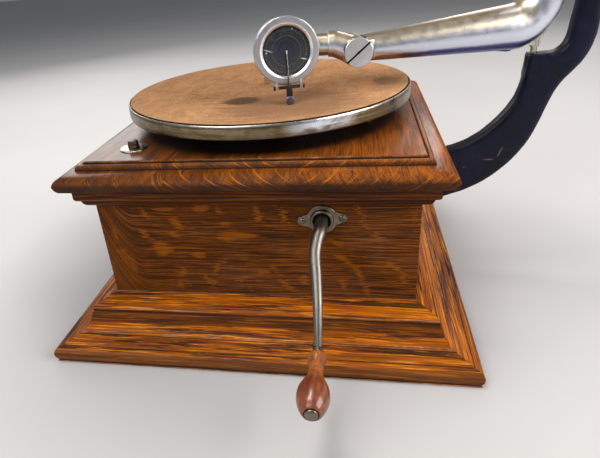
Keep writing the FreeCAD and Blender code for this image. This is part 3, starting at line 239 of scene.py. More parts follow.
def oak_streaked(name, src, hi=(0.53, 0.137, 0.0035), lo=(0.225, 0.053, 0.0028), streaks=1.0, cut=0.545, patches=1.0, rough=0.38,
                 coat=0.02, spec=0.10, dark=None, dull=None):
    """Plain-sawn oak with long near-black open grain. x runs along the grain. dark and dull are (z0, z1, strength) in
    mm; dark also paints a highlight line along the arris near z1 and a shade line just below it.
    """
    k = Mat(name)
    g = grain_src(k, src)
    w = k.vadd(k.noise(k.vmul(g, (5.0, 16.0, 16.0)), 1.0, 2.0, 0.5, color=True), (-0.5, -0.5, -0.5))
    p = k.vadd(g, k.vmul(w, (0.0, 0.007, 0.007)))
    tone = k.noise(k.vmul(p, (9.0, 300.0, 300.0)), 1.0, 3.0, 0.6)
    soft = k.noise(k.vmul(g, (8.0, 24.0, 24.0)), 1.0, 2.0, 0.5)
    st = k.noise(k.vmul(p, (24.0, 860.0, 860.0)), 1.0, 4.0, 0.62)
    cl = k.noise(k.vmul(p, (8.0, 140.0, 140.0)), 1.0, 2.0, 0.5)
    m1 = k.mr(k.add(st, k.mul(k.math("SUBTRACT", cl, 0.5), 0.80)), cut, cut + 0.07, 0.0, 1.0, True)
    pt = k.noise(k.vmul(p, (15.0, 380.0, 380.0)), 1.0, 4.0, 0.66)
    m2 = k.mr(pt, 0.580, 0.650, 0.0, 1.0, True)
    fine = k.noise(k.vmul(p, (40.0, 1200.0, 1200.0)), 1.0, 2.0, 0.6)
    m3 = k.mr(fine, 0.50, 0.66)
    col = k.mix(k.mr(tone, 0.38, 0.60, 0.0, 1.0, True), lo, hi)
    col = k.mix(k.mr(soft, 0.50, 0.72, 0.0, 0.55), col, tuple(c * 0.8 for c in lo))
    glow = k.noise(k.vmul(p, (18.0, 600.0, 600.0)), 1.0, 2.0, 0.5)
    col = k.mix(k.mr(glow, 0.54, 0.66, 0.0, 0.75, True), col, (0.82, 0.260, 0.012))
    col = k.mix(k.mul(m3, 0.50), col, (0.125, 0.032, 0.004))
    if patches:
        col = k.mix(k.mul(m2, 0.78 * patches), col, (0.072, 0.034, 0.016))
    col = k.mix(k.mul(m1, 0.90 * streaks), col, (0.030, 0.013, 0.007))
    z = k.mul(k.xyz(k.obj())[2], 1000.0)
    if dark:
        m = k.mul(k.mr(z, dark[0], dark[0] + 2.0), k.mr(z, dark[1], dark[1] - 4.0))
        col = k.mix(k.mul(m, dark[2]), col, (0.060, 0.018, 0.004))
        brk = k.noise(k.vmul(g, (30.0, 60.0, 60.0)), 1.0, 3.0, 0.6)
        # painted highlight: a broken pale line along the arris near the top of the dark band
        line = k.mul(k.mr(z, dark[1] - 0.9, dark[1] - 0.3), k.mr(z, dark[1] + 0.9, dark[1] + 0.3))
        col = k.mix(k.mul(line, k.mr(brk, 0.40, 0.62, 0.05, 0.55)), col, (0.62, 0.34, 0.17))
        # painted shade: a near-black line just below that arris
        line = k.mul(k.mr(z, dark[1] - 3.6, dark[1] - 3.0), k.mr(z, dark[1] - 1.2, dark[1] - 1.8))
        col = k.mix(k.mul(line, 0.85), col, (0.022, 0.009, 0.004))
    if dull:
        col = k.mix(k.mul(k.mr(z, dull[1], dull[1] - 1.5), k.mr(tone, 0.3, 0.7, dull[2] * 0.7, dull[2])), col, (0.145, 0.050, 0.014))
    ro = k.add(k.mr(soft, 0.3, 0.7, rough - 0.04, rough + 0.08), k.mul(m1, 0.16))
    col, ro = edge_work(k, col, ro)
    if dark:
        col = k.mix(k.mul(k.mr(z, 54.4, 55.0), 0.9), col, (0.020, 0.009, 0.004))
    h = k.add(k.mul(m1, -1.0), k.add(k.mul(m2, -0.3), k.mul(fine, 0.3)))
    wave = k.noise(k.vmul(k.obj(), (32.0, 32.0, 32.0)), 1.0, 2.0, 0.5)
    k.set(color=col, rough=ro, normal=k.bump(h, 0.00018, 0.5), coat=coat, coat_rough=0.24,
          coat_normal=k.bump(k.add(wave, k.mul(m1, -0.2)), 0.0004, 0.25), spec=spec)
    return k.m


def oak_lines(name, src, hi=(0.180, 0.048, 0.005), lo=(0.050, 0.015, 0.005), cut=0.46, rough=0.42, coat=0.0, spec=0.08):
    """Dark stained oak with close lines along the grain."""
    k = Mat(name)
    g = grain_src(k, src)
    w = k.vadd(k.noise(k.vmul(g, (6.0, 18.0, 18.0)), 1.0, 2.0, 0.5, color=True), (-0.5, -0.5, -0.5))
    p = k.vadd(g, k.vmul(w, (0.0, 0.006, 0.006)))
    a = k.noise(k.vmul(p, (7.0, 330.0, 330.0)), 1.0, 3.0, 0.6)
    b = k.noise(k.vmul(p, (2.0, 70.0, 70.0)), 1.0, 3.0, 0.6)
    f = k.noise(k.vmul(p, (30.0, 1000.0, 1000.0)), 1.0, 2.0, 0.6)
    col = k.mix(k.mr(k.add(a, k.mul(k.math("SUBTRACT", b, 0.5), 0.5)), cut, cut + 0.16, 0.0, 1.0, True), lo, hi)
    col = k.mix(k.mr(f, 0.52, 0.70, 0.0, 0.6), col, (0.022, 0.010, 0.006))
    col, ro = edge_work(k, col, k.mr(b, 0.3, 0.7, rough - 0.05, rough + 0.08), (0.36, 0.20, 0.12), amount=0.6)
    k.set(color=col, rough=ro, normal=k.bump(k.add(a, f), 0.00014, 0.5), coat=coat, coat_rough=0.26, spec=spec)
    return k.m


def oak_raw():
    k = Mat("oak_raw")
    o = k.obj()
    a = k.noise(k.vmul(o, (6.0, 6.0, 260.0)), 1.0, 3.0, 0.6)
    b = k.noise(k.vmul(o, (8.0, 300.0, 300.0)), 1.0, 3.0, 0.6)
    col = k.mix(k.mr(k.add(a, b), 0.8, 1.2), (0.34, 0.22, 0.12), (0.46, 0.32, 0.19))
    k.set(color=col, rough=k.mr(a, 0.3, 0.7, 0.62, 0.78), normal=k.bump(k.add(a, b), 0.0002, 0.4), spec=0.2)
    return k.m


def ell(k, a, b, ca, cb, la, lb, deg):
    """1 at the middle of a slanted oval, 0 at its edge, in millimetres."""
    c, s = math.cos(math.radians(deg)), math.sin(math.radians(deg))
    da, db = k.math("SUBTRACT", a, ca), k.math("SUBTRACT", b, cb)
    p = k.math("MULTIPLY_ADD", da, c / la, k.mul(db, s / la))
    q = k.math("MULTIPLY_ADD", da, -s / lb, k.mul(db, c / lb))
    return k.math("SUBTRACT", 1.0, k.math("SQRT", k.add(k.mul(p, p), k.mul(q, q))))


def oak_figured(name, run, off, marks, extra=0.0, swoop=None):
    """Quarter-sawn panel: dark close lines and soft orange flecks with combed edges. run is the grain axis, Z is up."""
    k = Mat(name)
    s = dict(zip("xyz", k.xyz(k.obj())))
    a, z = k.mul(s[run], 1000.0), k.mul(s["z"], 1000.0)
    t = k.mul(s["y" if run == "x" else "x"], 1000.0)
    zz = z
    if swoop:                 # the lines sweep down at one end of the board
        f = k.mr(a, swoop[0], swoop[1], 1.0, 0.0)
        zz = k.add(z, k.mul(k.mul(f, f), swoop[2]))
    v = k.vadd(k.comb(a, zz, t), off)
    w = k.vadd(k.noise(k.vmul(v, (0.008, 0.020, 0.02)), 1.0, 2.0, 0.5, color=True), (-0.5, -0.5, -0.5))
    p = k.vadd(v, k.vmul(w, (0.0, 9.0, 0.0)))
    ln = k.noise(k.vmul(p, (0.012, 0.55, 0.2)), 1.0, 3.0, 0.62)
    ln2 = k.noise(k.vmul(p, (0.022, 1.45, 0.3)), 1.0, 3.0, 0.6)
    comb = k.noise(k.vmul(p, (0.006, 0.80, 0.2)), 1.0, 2.0, 0.6)
    fi = k.noise(k.vmul(p, (0.035, 1.5, 0.5)), 1.0, 2.0, 0.6)
    cloud = k.noise(k.vmul(v, (0.011, 0.016, 0.01)), 1.0, 3.0, 0.55)
    col = k.mix(k.mr(ln, 0.38, 0.62, 0.0, 1.0, True), (0.058, 0.0170, 0.0025), (0.118, 0.0320, 0.0026))
    col = k.mix(k.mul(k.mr(ln2, 0.505, 0.60, 0.0, 1.0, True), k.mr(cloud, 0.34, 0.56, 0.25, 1.0)), col, (0.270, 0.071, 0.0020))
    col = k.mix(k.mul(k.mr(ln2, 0.48, 0.40, 0.0, 1.0, True), 0.75), col, (0.026, 0.009, 0.003))
    # flecks: their ends are combed along the grain
    wob = k.mul(k.math("SUBTRACT", k.noise(k.vmul(v, (0.06, 0.06, 0.05)), 1.0, 3.0, 0.6), 0.5), 1.2)
    wa = k.add(a, k.mul(k.math("SUBTRACT", k.noise(k.vmul(v, (0.02, 0.045, 0.05)), 1.0, 2.0, 0.5), 0.5), 9.0))
    wa = k.add(wa, k.mul(k.math("SUBTRACT", comb, 0.5), 27.0))
    field = None
    for m in marks:
        e = ell(k, wa, z, *m)
        field = e if field is None else k.math("MAXIMUM", field, e)
    # a loose scatter of the same kind beside the placed ones
    n1 = k.noise(k.comb(k.add(k.mul(wa, 0.046), off[0]), k.mul(z, 0.062), k.mul(t, 0.04)), 1.0, 2.0, 0.45)
    ox = k.add(k.add(a, k.mul(z, 0.55)), k.mul(k.math("SUBTRACT", comb, 0.5), 20.0))
    n2 = k.noise(k.comb(k.add(k.mul(ox, 0.105), off[0]), k.mul(z, 0.026), k.mul(t, 0.03)), 1.0, 2.0, 0.45)
    sc = k.math("MAXIMUM", k.mul(k.math("SUBTRACT", n1, 0.68), 6.0), k.mul(k.math("SUBTRACT", n2, 0.67), 6.0))
    sc = k.add(sc, extra)
    field = sc if field is None else k.math("MAXIMUM", field, sc)
    field = k.add(field, k.add(k.mul(wob, 0.35), k.mul(k.math("SUBTRACT", ln2, 0.5), 1.5)))
    fm = k.mr(field, -0.06, 0.24, 0.0, 1.0, True)
    fc = k.mix(k.mr(fi, 0.35, 0.65), (0.205, 0.055, 0.0015), (0.320, 0.086, 0.0020))
    col = k.mix(k.mul(fm, k.mr(ln2, 0.36, 0.50, 0.50, 1.0)), col, fc)
    # pores, and a lilac-grey painted sheen in places
    pore = k.noise(k.vmul(p, (0.10, 2.2, 1.0)), 1.0, 2.0, 0.6)
    col = k.mix(k.mul(k.mr(pore, 0.54, 0.66, 0.0, 0.70), k.mr(fm, 0.0, 1.0, 1.0, 0.35)), col, (0.026, 0.010, 0.005))
    painted_sheen = k.mul(k.mr(cloud, 0.50, 0.68), k.mr(ln2, 0.40, 0.62, 0.2, 1.0))
    col = k.mix(k.mul(painted_sheen, 0.34), col, (0.150, 0.070, 0.040))
    ro = k.add(k.mr(cloud, 0.3, 0.7, 0.34, 0.46), k.mul(fm, -0.05))
    h = k.add(k.mul(k.mr(pore, 0.55, 0.66), -1.0), k.add(k.mul(ln2, 0.4), k.mul(fm, 0.25)))
    wave = k.noise(k.vmul(k.obj(), (30.0, 30.0, 30.0)), 1.0, 2.0, 0.5)
    k.set(color=col, rough=ro, normal=k.bump(h, 0.00014, 0.5), coat=0.0, coat_rough=0.28, coat_normal=k.bump(wave, 0.0004, 0.25), spec=0.07)
    return k.m


def oak_lid_mat():
    """Planks whose near edge shows end grain. gc holds x along the grain, then the ring and ray directions."""
    k = Mat("oak_lid")
    g = k.attr("gc")
    x, q, s = k.xyz(g)
    w = k.vadd(k.noise(k.vmul(g, (7.0, 26.0, 26.0)), 1.0, 2.0, 0.5, color=True), (-0.5, -0.5, -0.5))
    wx, wq, ws = k.xyz(w)
    q2 = k.add(q, k.mul(wq, 0.006))
    s2 = k.add(s, k.mul(ws, 0.0055))
    # rings: dark dashes standing on the ray direction
    ring = k.noise(k.comb(k.mul(x, 6.0), k.mul(q2, 640.0), k.mul(s2, 60.0)), 1.0, 3.0, 0.6)
    pore = k.noise(k.comb(k.mul(x, 34.0), k.mul(q2, 980.0), k.mul(s2, 330.0)), 1.0, 3.0, 0.6)
    tone = k.noise(k.comb(k.mul(x, 12.0), k.mul(q2, 110.0), k.mul(s2, 70.0)), 1.0, 3.0, 0.55)
    # rays: thin bright sheets
    ray = k.noise(k.comb(k.mul(x, 12.0), k.mul(q, 16.0), k.mul(s2, 600.0)), 1.0, 1.0, 0.4)
    rm = k.mr(ray, 0.645, 0.695, 0.0, 1.0, True)
    ray2 = k.noise(k.comb(k.mul(x, 20.0), k.mul(q, 70.0), k.mul(s2, 900.0)), 1.0, 1.0, 0.4)
    rm2 = k.mul(k.mr(ray2, 0.62, 0.70, 0.0, 1.0, True), 0.40)
    side_y = k.xyz(k.obj())[1]
    n = k.xyz(k.node("ShaderNodeNewGeometry").outputs["Normal"])
    under = k.mr(n[2], 0.60, -0.02, 0.0, 1.0, True)
    up = k.mr(n[2], 0.6, 0.98)
    col = k.mix(k.mr(tone, 0.36, 0.64, 0.0, 1.0, True), (0.105, 0.028, 0.004), (0.225, 0.060, 0.004))
    col = k.mix(k.mr(ring, 0.50, 0.62, 0.0, 0.70, True), col, (0.055, 0.017, 0.005))
    col = k.mix(k.mr(pore, 0.54, 0.66, 0.0, 0.78, True), col, (0.032, 0.011, 0.005))
    col = k.mix(k.mul(k.math("MAXIMUM", k.mul(k.mul(rm, k.mr(side_y, -0.095, -0.062, 0.08, 1.0)), k.mr(side_y, 0.045, 0.055, 1.0, 0.55)), rm2), k.mr(up, 0.0, 1.0, 0.95, 0.35)), col, (0.66, 0.190, 0.007))
    col = k.mix(k.mul(k.mul(up, k.mr(side_y, -0.02, 0.09)), k.mr(pore, 0.36, 0.58, 0.42, 0.05)), col, (0.50, 0.135, 0.010))
    # painted shadow: the deck's top is painted near black where the turntable covers it
    ox, oy, oz = k.xyz(k.obj())
    rad = k.math("SQRT", k.add(k.mul(ox, ox), k.mul(oy, oy)))
    col = k.mix(k.mul(k.mul(k.mr(rad, 0.1500, 0.1340, 0.0, 1.0, True), up), 0.93), col, (0.006, 0.003, 0.002))
    col = k.mix(k.mul(k.mr(oy, 0.0504, 0.0496), k.mr(up, 0.2, 1.0, 0.34, 0.0)), col, (0.085, 0.036, 0.016))
    # painted dark reflection: faces that turn sideways and down, the nose below its top, are painted grey-brown
    grey = k.noise(k.obj(), 22.0, 4.0, 0.62)
    col = k.mix(k.mul(under, k.mr(grey, 0.3, 0.7, 0.62, 0.94)), col, (0.036, 0.0165, 0.0095))
    col, ro = edge_work(k, col, k.add(k.mr(grey, 0.3, 0.7, 0.36, 0.46), k.mr(n[2], 0.98, 0.80, 0.0, 0.16)), (0.50, 0.25, 0.12), amount=0.6)
    h = k.add(k.mul(k.mr(pore, 0.54, 0.66), -1.0), k.mul(ring, 0.35))
    wave = k.noise(k.vmul(k.obj(), (34.0, 34.0, 34.0)), 1.0, 3.0, 0.55)
    k.set(color=col, rough=ro, normal=k.bump(h, 0.00016, 0.55), coat=k.mul(k.mr(n[2], 0.95, 0.995, 0.0, 0.45), k.mr(rad, 0.1340, 0.1500)), coat_rough=0.17,
          coat_normal=k.bump(k.add(wave, k.mul(h, 0.10)), 0.0005, 0.35), spec=0.10)
    return k.m


def nickel(name, base=(0.70, 0.665, 0.61), rough=0.17, spots=0.5, haze=0.35, brown=(0.20, 0.125, 0.07), brush=0.0, bands=None,
           groove=None, bevel=None, slot=None):
    """Old plated metal: soft haze, fine scratches, small brown spots. bands paints reflections by facing (cream above,
    blue-white at the sides, brown-red to deep blue beneath) and, with a fourth value, darker brown-gold below that y;
    groove is a radius in metres inside which painted shade lies, and it also brings the rim's painted highlights; bevel
    is a radius about the soundbox's axis inside which the metal is polished; slot is a depth along the elbow hinge's
    axis below which the metal is darker within about 15 mm of that axis and grey beyond it."""
    k = Mat(name)
    o = k.obj()
    hz = k.noise(o, 34.0, 5.0, 0.62, 0.6)
    hz2 = k.noise(o, 150.0, 4.0, 0.6)
    scr = k.noise(k.vmul(o, (900.0, 140.0, 2400.0)), 1.0, 2.0, 0.6)
    scr2 = k.noise(k.vmul(o, (2200.0, 1700.0, 160.0)), 1.0, 2.0, 0.6)
    sp = k.voro(k.vadd(o, k.vmul(k.noise(o, 260.0, 2.0, color=True), (0.003, 0.003, 0.003))), 210.0)
    spm = k.mul(k.mr(sp, 0.16, 0.05, 0.0, 1.0, True), k.mr(hz, 0.47, 0.62))
    col = k.mix(k.mr(hz, 0.35, 0.75, 0.0, haze), base, (0.50, 0.43, 0.35))
    col = k.mix(k.mr(hz2, 0.55, 0.75, 0.0, haze * 0.8), col, (0.36, 0.31, 0.27))
    # painted reflections: cream on the upper side, duller beige along the very top, blue-white at the sides, brown-red
    # to deep blue beneath
    if bands:
        nz = k.xyz(k.node("ShaderNodeNewGeometry").outputs["Normal"])[2]
        nz = k.add(nz, k.mul(k.math("SUBTRACT", hz, 0.5), 0.14))
        y = k.xyz(o)[1]
        col = k.mix(k.mul(k.mr(nz, 0.20, 0.36), 0.75), col, (0.80, 0.715, 0.555))
        col = k.mix(k.mul(k.mr(nz, 0.88, 0.97), 0.70), col, (0.60, 0.54, 0.43))
        col = k.mix(k.mul(k.mr(nz, 0.30, 0.18), 0.75), col, (0.66, 0.70, 0.84))
        if len(bands) > 3:
            col = k.mix(k.mr(y, bands[3] + 0.012, bands[3], 0.0, 0.8), col, (0.30, 0.225, 0.125))
        low = k.mix(k.mr(y, bands[0], bands[1]), (0.27, 0.135, 0.085), (0.055, 0.060, 0.25))
        col = k.mix(k.mul(k.mr(nz, -0.47, -0.60), bands[2]), col, low)
    if groove:
        rx, ry, rz = k.xyz(o)
        rad = k.math("SQRT", k.add(k.mul(rx, rx), k.mul(ry, ry)))
        pale = k.noise(k.vmul(o, (26.0, 26.0, 60.0)), 1.0, 4.0, 0.6, 0.5)
        st = k.noise(k.vmul(o, (22.0, 22.0, 620.0)), 1.0, 3.0, 0.6)
        # painted highlight: a pale blue-white patch on the upper front of the rim
        ang = k.math("ARCTAN2", ry, rx)
        front = k.mul(k.mr(ang, 0.24, 0.42), k.mr(ang, 0.72, 0.52))
        col = k.mix(k.mr(k.add(pale, k.mul(k.math("SUBTRACT", st, 0.5), 0.5)), 0.40, 0.62, 0.0, 1.0, True), (0.135, 0.086, 0.036), (0.250, 0.198, 0.125))
        col = k.mix(k.mul(k.mr(rz, 0.2245, 0.2195), 0.60), col, (0.105, 0.070, 0.034))
        # painted highlight: a bright band along the rim's top edge
        col = k.mix(k.mr(rz, 0.2288, 0.2298, 0.0, 0.8), col, (0.60, 0.56, 0.48))
        painted_highlight = k.mul(front, k.mr(k.add(pale, k.mul(k.math("SUBTRACT", st, 0.5), 0.3)), 0.42, 0.60, 0.15, 1.0))
        col = k.mix(k.mul(painted_highlight, k.mr(rz, 0.2185, 0.2225)), col, (0.78, 0.82, 0.92))
        # painted shade: near black in the gap inside the lip
        col = k.mix(k.mr(rad, groove + 0.0002, groove - 0.0002), col, (0.012, 0.008, 0.006))
    shine = None
    if bevel or slot:
        c, ax = SB_AT if bevel else CAP_AT
        d = k.vadd(o, tuple(-x for x in c))
        dep = k.math("ADD", *[k.mul(a, b) for a, b in list(zip(k.xyz(d), ax))[:2]])
        q = [k.math("SUBTRACT", a, k.mul(dep, b)) for a, b in zip(k.xyz(d), ax)]
        rr = k.math("SQRT", k.add(k.mul(q[0], q[0]), k.add(k.mul(q[1], q[1]), k.mul(q[2], q[2]))))
        if bevel:
            shine = k.mr(rr, bevel + 0.0003, bevel - 0.0003)
            col = k.mix(shine, col, (0.97, 0.97, 0.96))
        else:
            col = k.mix(k.mul(k.mr(dep, slot, slot - 0.0004), k.mr(rr, 0.0160, 0.0148)), col, (0.030, 0.016, 0.009))
            col = k.mix(k.mul(k.mr(dep, slot, slot - 0.0004), k.mr(rr, 0.0146, 0.0162)), col, (0.42, 0.41, 0.42))
    col = k.mix(k.mul(spm, spots), col, brown)
    if shine is not None:
        hz2 = k.mul(hz2, k.mr(shine, 0.0, 1.0, 1.0, 0.4))
    ro = k.add(k.mr(hz2, 0.3, 0.75, rough, rough + 0.14), k.add(k.mul(k.mr(scr, 0.5, 0.75), 0.07), k.mul(spm, 0.35)))
    nb = k.bump(k.add(k.mul(scr, 0.6), k.add(scr2, k.mul(hz2, 0.8))), 0.00002, 0.35 + brush)
    k.set(color=col, metal=1.0, rough=ro, normal=nb)
    return k.m


def metal(name, base, rough, spots=0.4, dark=(0.06, 0.05, 0.045), scale=90.0):
    k = Mat(name)
    o = k.obj()
    a = k.noise(o, scale, 4.0, 0.6, 0.4)
    b = k.noise(k.vmul(o, (1500.0, 1500.0, 200.0)), 1.0, 2.0, 0.6)
    col = k.mix(k.mr(a, 0.45, 0.75, 0.0, spots), base, dark)
    k.set(color=col, metal=1.0, rough=k.mr(a, 0.3, 0.7, rough, rough + 0.2), normal=k.bump(k.add(a, b), 0.00002, 0.5))
    return k.m


def ironwork(name, base=(0.0045, 0.005, 0.012), worn=0.5):
    """Black japanned casting: orange peel, dusty upper faces, brown rubbed spots."""
    k = Mat(name)
    o = k.obj()
    a = k.noise(o, 22.0, 5.0, 0.65, 0.5)
    peel = k.noise(o, 420.0, 3.0, 0.6)
    pit = k.voro(o, 520.0)
    n = k.node("ShaderNodeNewGeometry").outputs["Normal"]
    nz = k.xyz(n)[2]
    col = k.mix(k.mr(a, 0.35, 0.7), base, (0.009, 0.010, 0.030))
    dust = k.mul(k.mr(nz, 0.25, 0.95), k.mr(a, 0.35, 0.6))
    col = k.mix(k.mul(dust, 0.35), col, (0.060, 0.048, 0.038))
    st = k.noise(k.vmul(o, (40.0, 130.0, 90.0)), 1.0, 3.0, 0.6, 1.2)
    wm = k.mr(st, 0.70, 0.76, 0.0, worn, True)
    col = k.mix(wm, col, (0.13, 0.060, 0.028))
    ym, zm = k.mul(k.xyz(o)[1], 1000.0), k.mul(k.xyz(o)[2], 1000.0)
    rub = k.math("MAXIMUM", ell(k, ym, zm, 237.0, 142.6, 6.5, 1.0, 0.0), ell(k, ym, zm, 247.6, 151.0, 7.5, 0.9, 70.0))
    rub = k.math("MAXIMUM", rub, ell(k, ym, zm, 213.1, 134.5, 1.6, 1.2, 30.0))
    col = k.mix(k.mul(k.mr(rub, 0.0, 0.5), k.mr(peel, 0.35, 0.6, 0.3, 0.9)), col, (0.20, 0.115, 0.045))
    dots = k.mul(k.mr(k.voro(o, 330.0), 0.13, 0.05), k.mr(peel, 0.45, 0.6, 0.0, 0.6))
    col = k.mix(dots, col, (0.14, 0.12, 0.11))
    ro = k.add(k.mr(a, 0.3, 0.7, 0.30, 0.44), k.mul(k.add(wm, dust), 0.25))
    k.set(color=col, rough=ro, normal=k.bump(k.add(peel, k.mul(pit, 0.5)), 0.00010, 0.35), coat=0.04, coat_rough=0.26, spec=0.15)
    return k.m


def felt_mat():
    k = Mat("felt_worn")
    o = k.obj()
    x, y, z = k.xyz(o)
    fib = k.noise(k.vmul(o, (260.0, 900.0, 260.0)), 1.0, 4.0, 0.7)
    fib2 = k.noise(k.vmul(o, (1500.0, 1200.0, 1500.0)), 1.0, 3.0, 0.75)
    nap = k.noise(k.vmul(o, (30.0, 62.0, 30.0)), 1.0, 4.0, 0.6, 0.8)
    cloud = k.noise(o, 11.0, 4.0, 0.6, 0.3)
    r = k.math("SQRT", k.add(k.mul(x, x), k.mul(y, y)))
    col = k.mix(k.mr(nap, 0.32, 0.70), (0.360, 0.165, 0.066), (0.640, 0.330, 0.140))
    col = k.mix(k.mr(cloud, 0.42, 0.72, 0.0, 0.50), col, (0.360, 0.185, 0.085))
    streak = k.noise(k.vmul(o, (120.0, 26.0, 60.0)), 1.0, 4.0, 0.65, 0.6)
    col = k.mix(k.mr(streak, 0.52, 0.68, 0.0, 0.55), col, (0.215, 0.095, 0.040))
    col = k.mix(k.mr(fib, 0.42, 0.66, 0.0, 0.60), col, (0.78, 0.430, 0.200))
    col = k.mix(k.mr(fib2, 0.52, 0.75, 0.0, 0.5), col, (0.13, 0.060, 0.028))
    xm, ym = k.mul(x, 1000.0), k.mul(y, 1000.0)
    # darker patches in front of the soundbox and under the arm: dirt with the painted shadow of both
    shadow_and_dirt = k.math("MAXIMUM", ell(k, xm, ym, 92.0, 38.0, 66.0, 88.0, 12.0), ell(k, xm, ym, 10.0, 128.0, 26.0, 20.0, 0.0))
    shadow_and_dirt = k.add(shadow_and_dirt, k.mul(k.math("SUBTRACT", streak, 0.5), 0.9))
    col = k.mix(k.mul(k.mr(shadow_and_dirt, 0.0, 0.50, 0.0, 1.0, True), 0.74), col, (0.185, 0.092, 0.046))
    # rubbed lighter edge, a dark smudge where a needle has been set down, painted shade on the side wall
    col = k.mix(k.mr(r, 0.120, 0.1470, 0.0, 0.30), col, (0.50, 0.29, 0.15))
    dx, dy = k.math("SUBTRACT", x, 0.0715), k.math("SUBTRACT", y, -0.0145)
    rr = k.math("SQRT", k.add(k.mul(dx, dx), k.mul(k.mul(dy, dy), 0.85)))
    rr = k.add(rr, k.mul(k.math("SUBTRACT", k.noise(k.vmul(o, (110.0, 60.0, 60.0)), 1.0, 4.0, 0.65), 0.5), 0.016))
    col = k.mix(k.mul(k.mr(rr, 0.0205, 0.0115, 0.0, 1.0, True), 0.80), col, (0.040, 0.022, 0.013))
    col = k.mix(k.mr(z, 0.2318, 0.2314), col, (0.014, 0.008, 0.005))
    h = k.add(k.mul(fib, 0.8), k.add(fib2, k.mul(nap, 1.4)))
    k.set(color=col, rough=0.92, normal=k.bump(h, 0.0006, 0.6), sheen=0.12, sheen_rough=0.5, sheen_tint=(0.80, 0.52, 0.32), spec=0.12)
    return k.m


def handle_wood():
    k = Mat("handle_wood_polished")
    o = k.obj()
    g = k.noise(k.vmul(o, (28.0, 260.0, 260.0)), 1.0, 4.0, 0.6, 0.7)
    f = k.noise(k.vmul(o, (120.0, 1500.0, 1500.0)), 1.0, 2.0, 0.6)
    s = k.noise(o, 45.0, 3.0, 0.6, 0.4)
    x = k.xyz(o)[0]
    col = k.mix(k.mr(g, 0.35, 0.68), (0.115, 0.027, 0.011), (0.285, 0.076, 0.025))
    warm = k.mul(k.mr(x, 0.262, 0.282, 1.0, 0.0, True), k.mr(s, 0.35, 0.60))
    col = k.mix(k.mul(warm, 0.75), col, (0.50, 0.175, 0.035))
    col = k.mix(k.mr(f, 0.55, 0.72, 0.0, 0.6), col, (0.030, 0.012, 0.009))
    k.set(color=col, rough=k.mr(s, 0.3, 0.7, 0.26, 0.42), coat=0.55, coat_rough=0.14, spec=0.35,
          normal=k.bump(k.add(f, k.mul(s, 0.5)), 0.00008, 0.4), coat_normal=k.bump(s, 0.0002, 0.25))
    return k.m


def mica_mat():
    k = Mat("mica_dark")
    p = k.attr("lc")          # local frame: x and z in the disc's plane, from its centre
    x, y, z = k.xyz(p)
    r = k.math("SQRT", k.add(k.mul(x, x), k.mul(z, z)))
    o = k.obj()
    sp = k.noise(o, 900.0, 3.0, 0.7)
    cl = k.noise(o, 120.0, 4.0, 0.6, 0.5)

    def band(a, b, e=0.00025):
        return k.mul(k.mr(r, a - e, a + e), k.mr(r, b + e, b - e))
    ang = k.math("ARCTAN2", z, x)
    dash = k.mr(k.math("SINE", k.mul(ang, 58.0)), -0.2, 0.5)
    dash2 = k.mr(k.math("SINE", k.mul(ang, 76.0)), -0.2, 0.5)
    rings = k.add(band(0.0096, 0.0099), band(0.0158, 0.0160))
    dots = k.add(k.mul(band(0.0126, 0.0140), dash), k.mul(band(0.0178, 0.0194), dash2))
    dots = k.mul(dots, k.mr(sp, 0.36, 0.56, 0.25, 1.0))
    col = k.mix(k.mr(cl, 0.3, 0.7), (0.008, 0.009, 0.013), (0.024, 0.027, 0.033))
    col = k.mix(k.mr(r, 0.0115, 0.0070, 0.0, 0.8), col, (0.010, 0.012, 0.034))
    col = k.mix(k.mr(r, 0.0026, 0.0010, 0.0, 0.8), col, (0.004, 0.004, 0.008))
    col = k.mix(k.mul(rings, k.mr(sp, 0.40, 0.60, 0.15, 0.5)), col, (0.10, 0.10, 0.10))
    col = k.mix(k.mul(dots, 0.55), col, (0.15, 0.148, 0.135))
    col = k.mix(k.mr(sp, 0.64, 0.74, 0.0, 0.5), col, (0.13, 0.13, 0.12))
    px_, pz_ = k.mul(x, 1000.0), k.mul(z, 1000.0)
    # painted glints: short pale strokes where the mica catches the light
    painted_glint = k.math("MAXIMUM", ell(k, px_, pz_, 16.8, 1.6, 5.2, 0.55, 21.0), ell(k, px_, pz_, -15.9, -8.2, 4.0, 0.75, 16.0))
    painted_glint = k.math("MAXIMUM", painted_glint, k.math("MAXIMUM", ell(k, px_, pz_, 18.4, -0.2, 1.0, 0.8, 0.0), ell(k, px_, pz_, -6.2, 18.6, 0.9, 0.8, 0.0)))
    col = k.mix(k.mr(painted_glint, 0.0, 0.6, 0.0, 0.85), col, (0.60, 0.62, 0.62))
    k.set(color=col, rough=k.mr(cl, 0.3, 0.7, 0.16, 0.30), coat=0.45, coat_rough=0.06, spec=0.45,
          normal=k.bump(sp, 0.00003, 0.3))
    return k.m


def stylus_mat():
    """Blued chuck, brown rod, bright foot on the diaphragm."""
    k = Mat("stylus_steel")
    o = k.obj()
    z = k.xyz(o)[2]
    a = k.noise(o, 120.0, 4.0, 0.6)
    col = k.mix(k.mr(a, 0.4, 0.75, 0.0, 0.5), (0.080, 0.078, 0.082), (0.035, 0.028, 0.024))
    col = k.mix(k.mr(z, 0.2488, 0.2505), col, (0.19, 0.145, 0.118))
    col = k.mix(k.mr(z, 0.2760, 0.2768), col, (0.72, 0.70, 0.66))
    k.set(color=col, metal=1.0, rough=k.mr(a, 0.3, 0.7, 0.26, 0.42), normal=k.bump(a, 0.00002, 0.5))
    return k.m


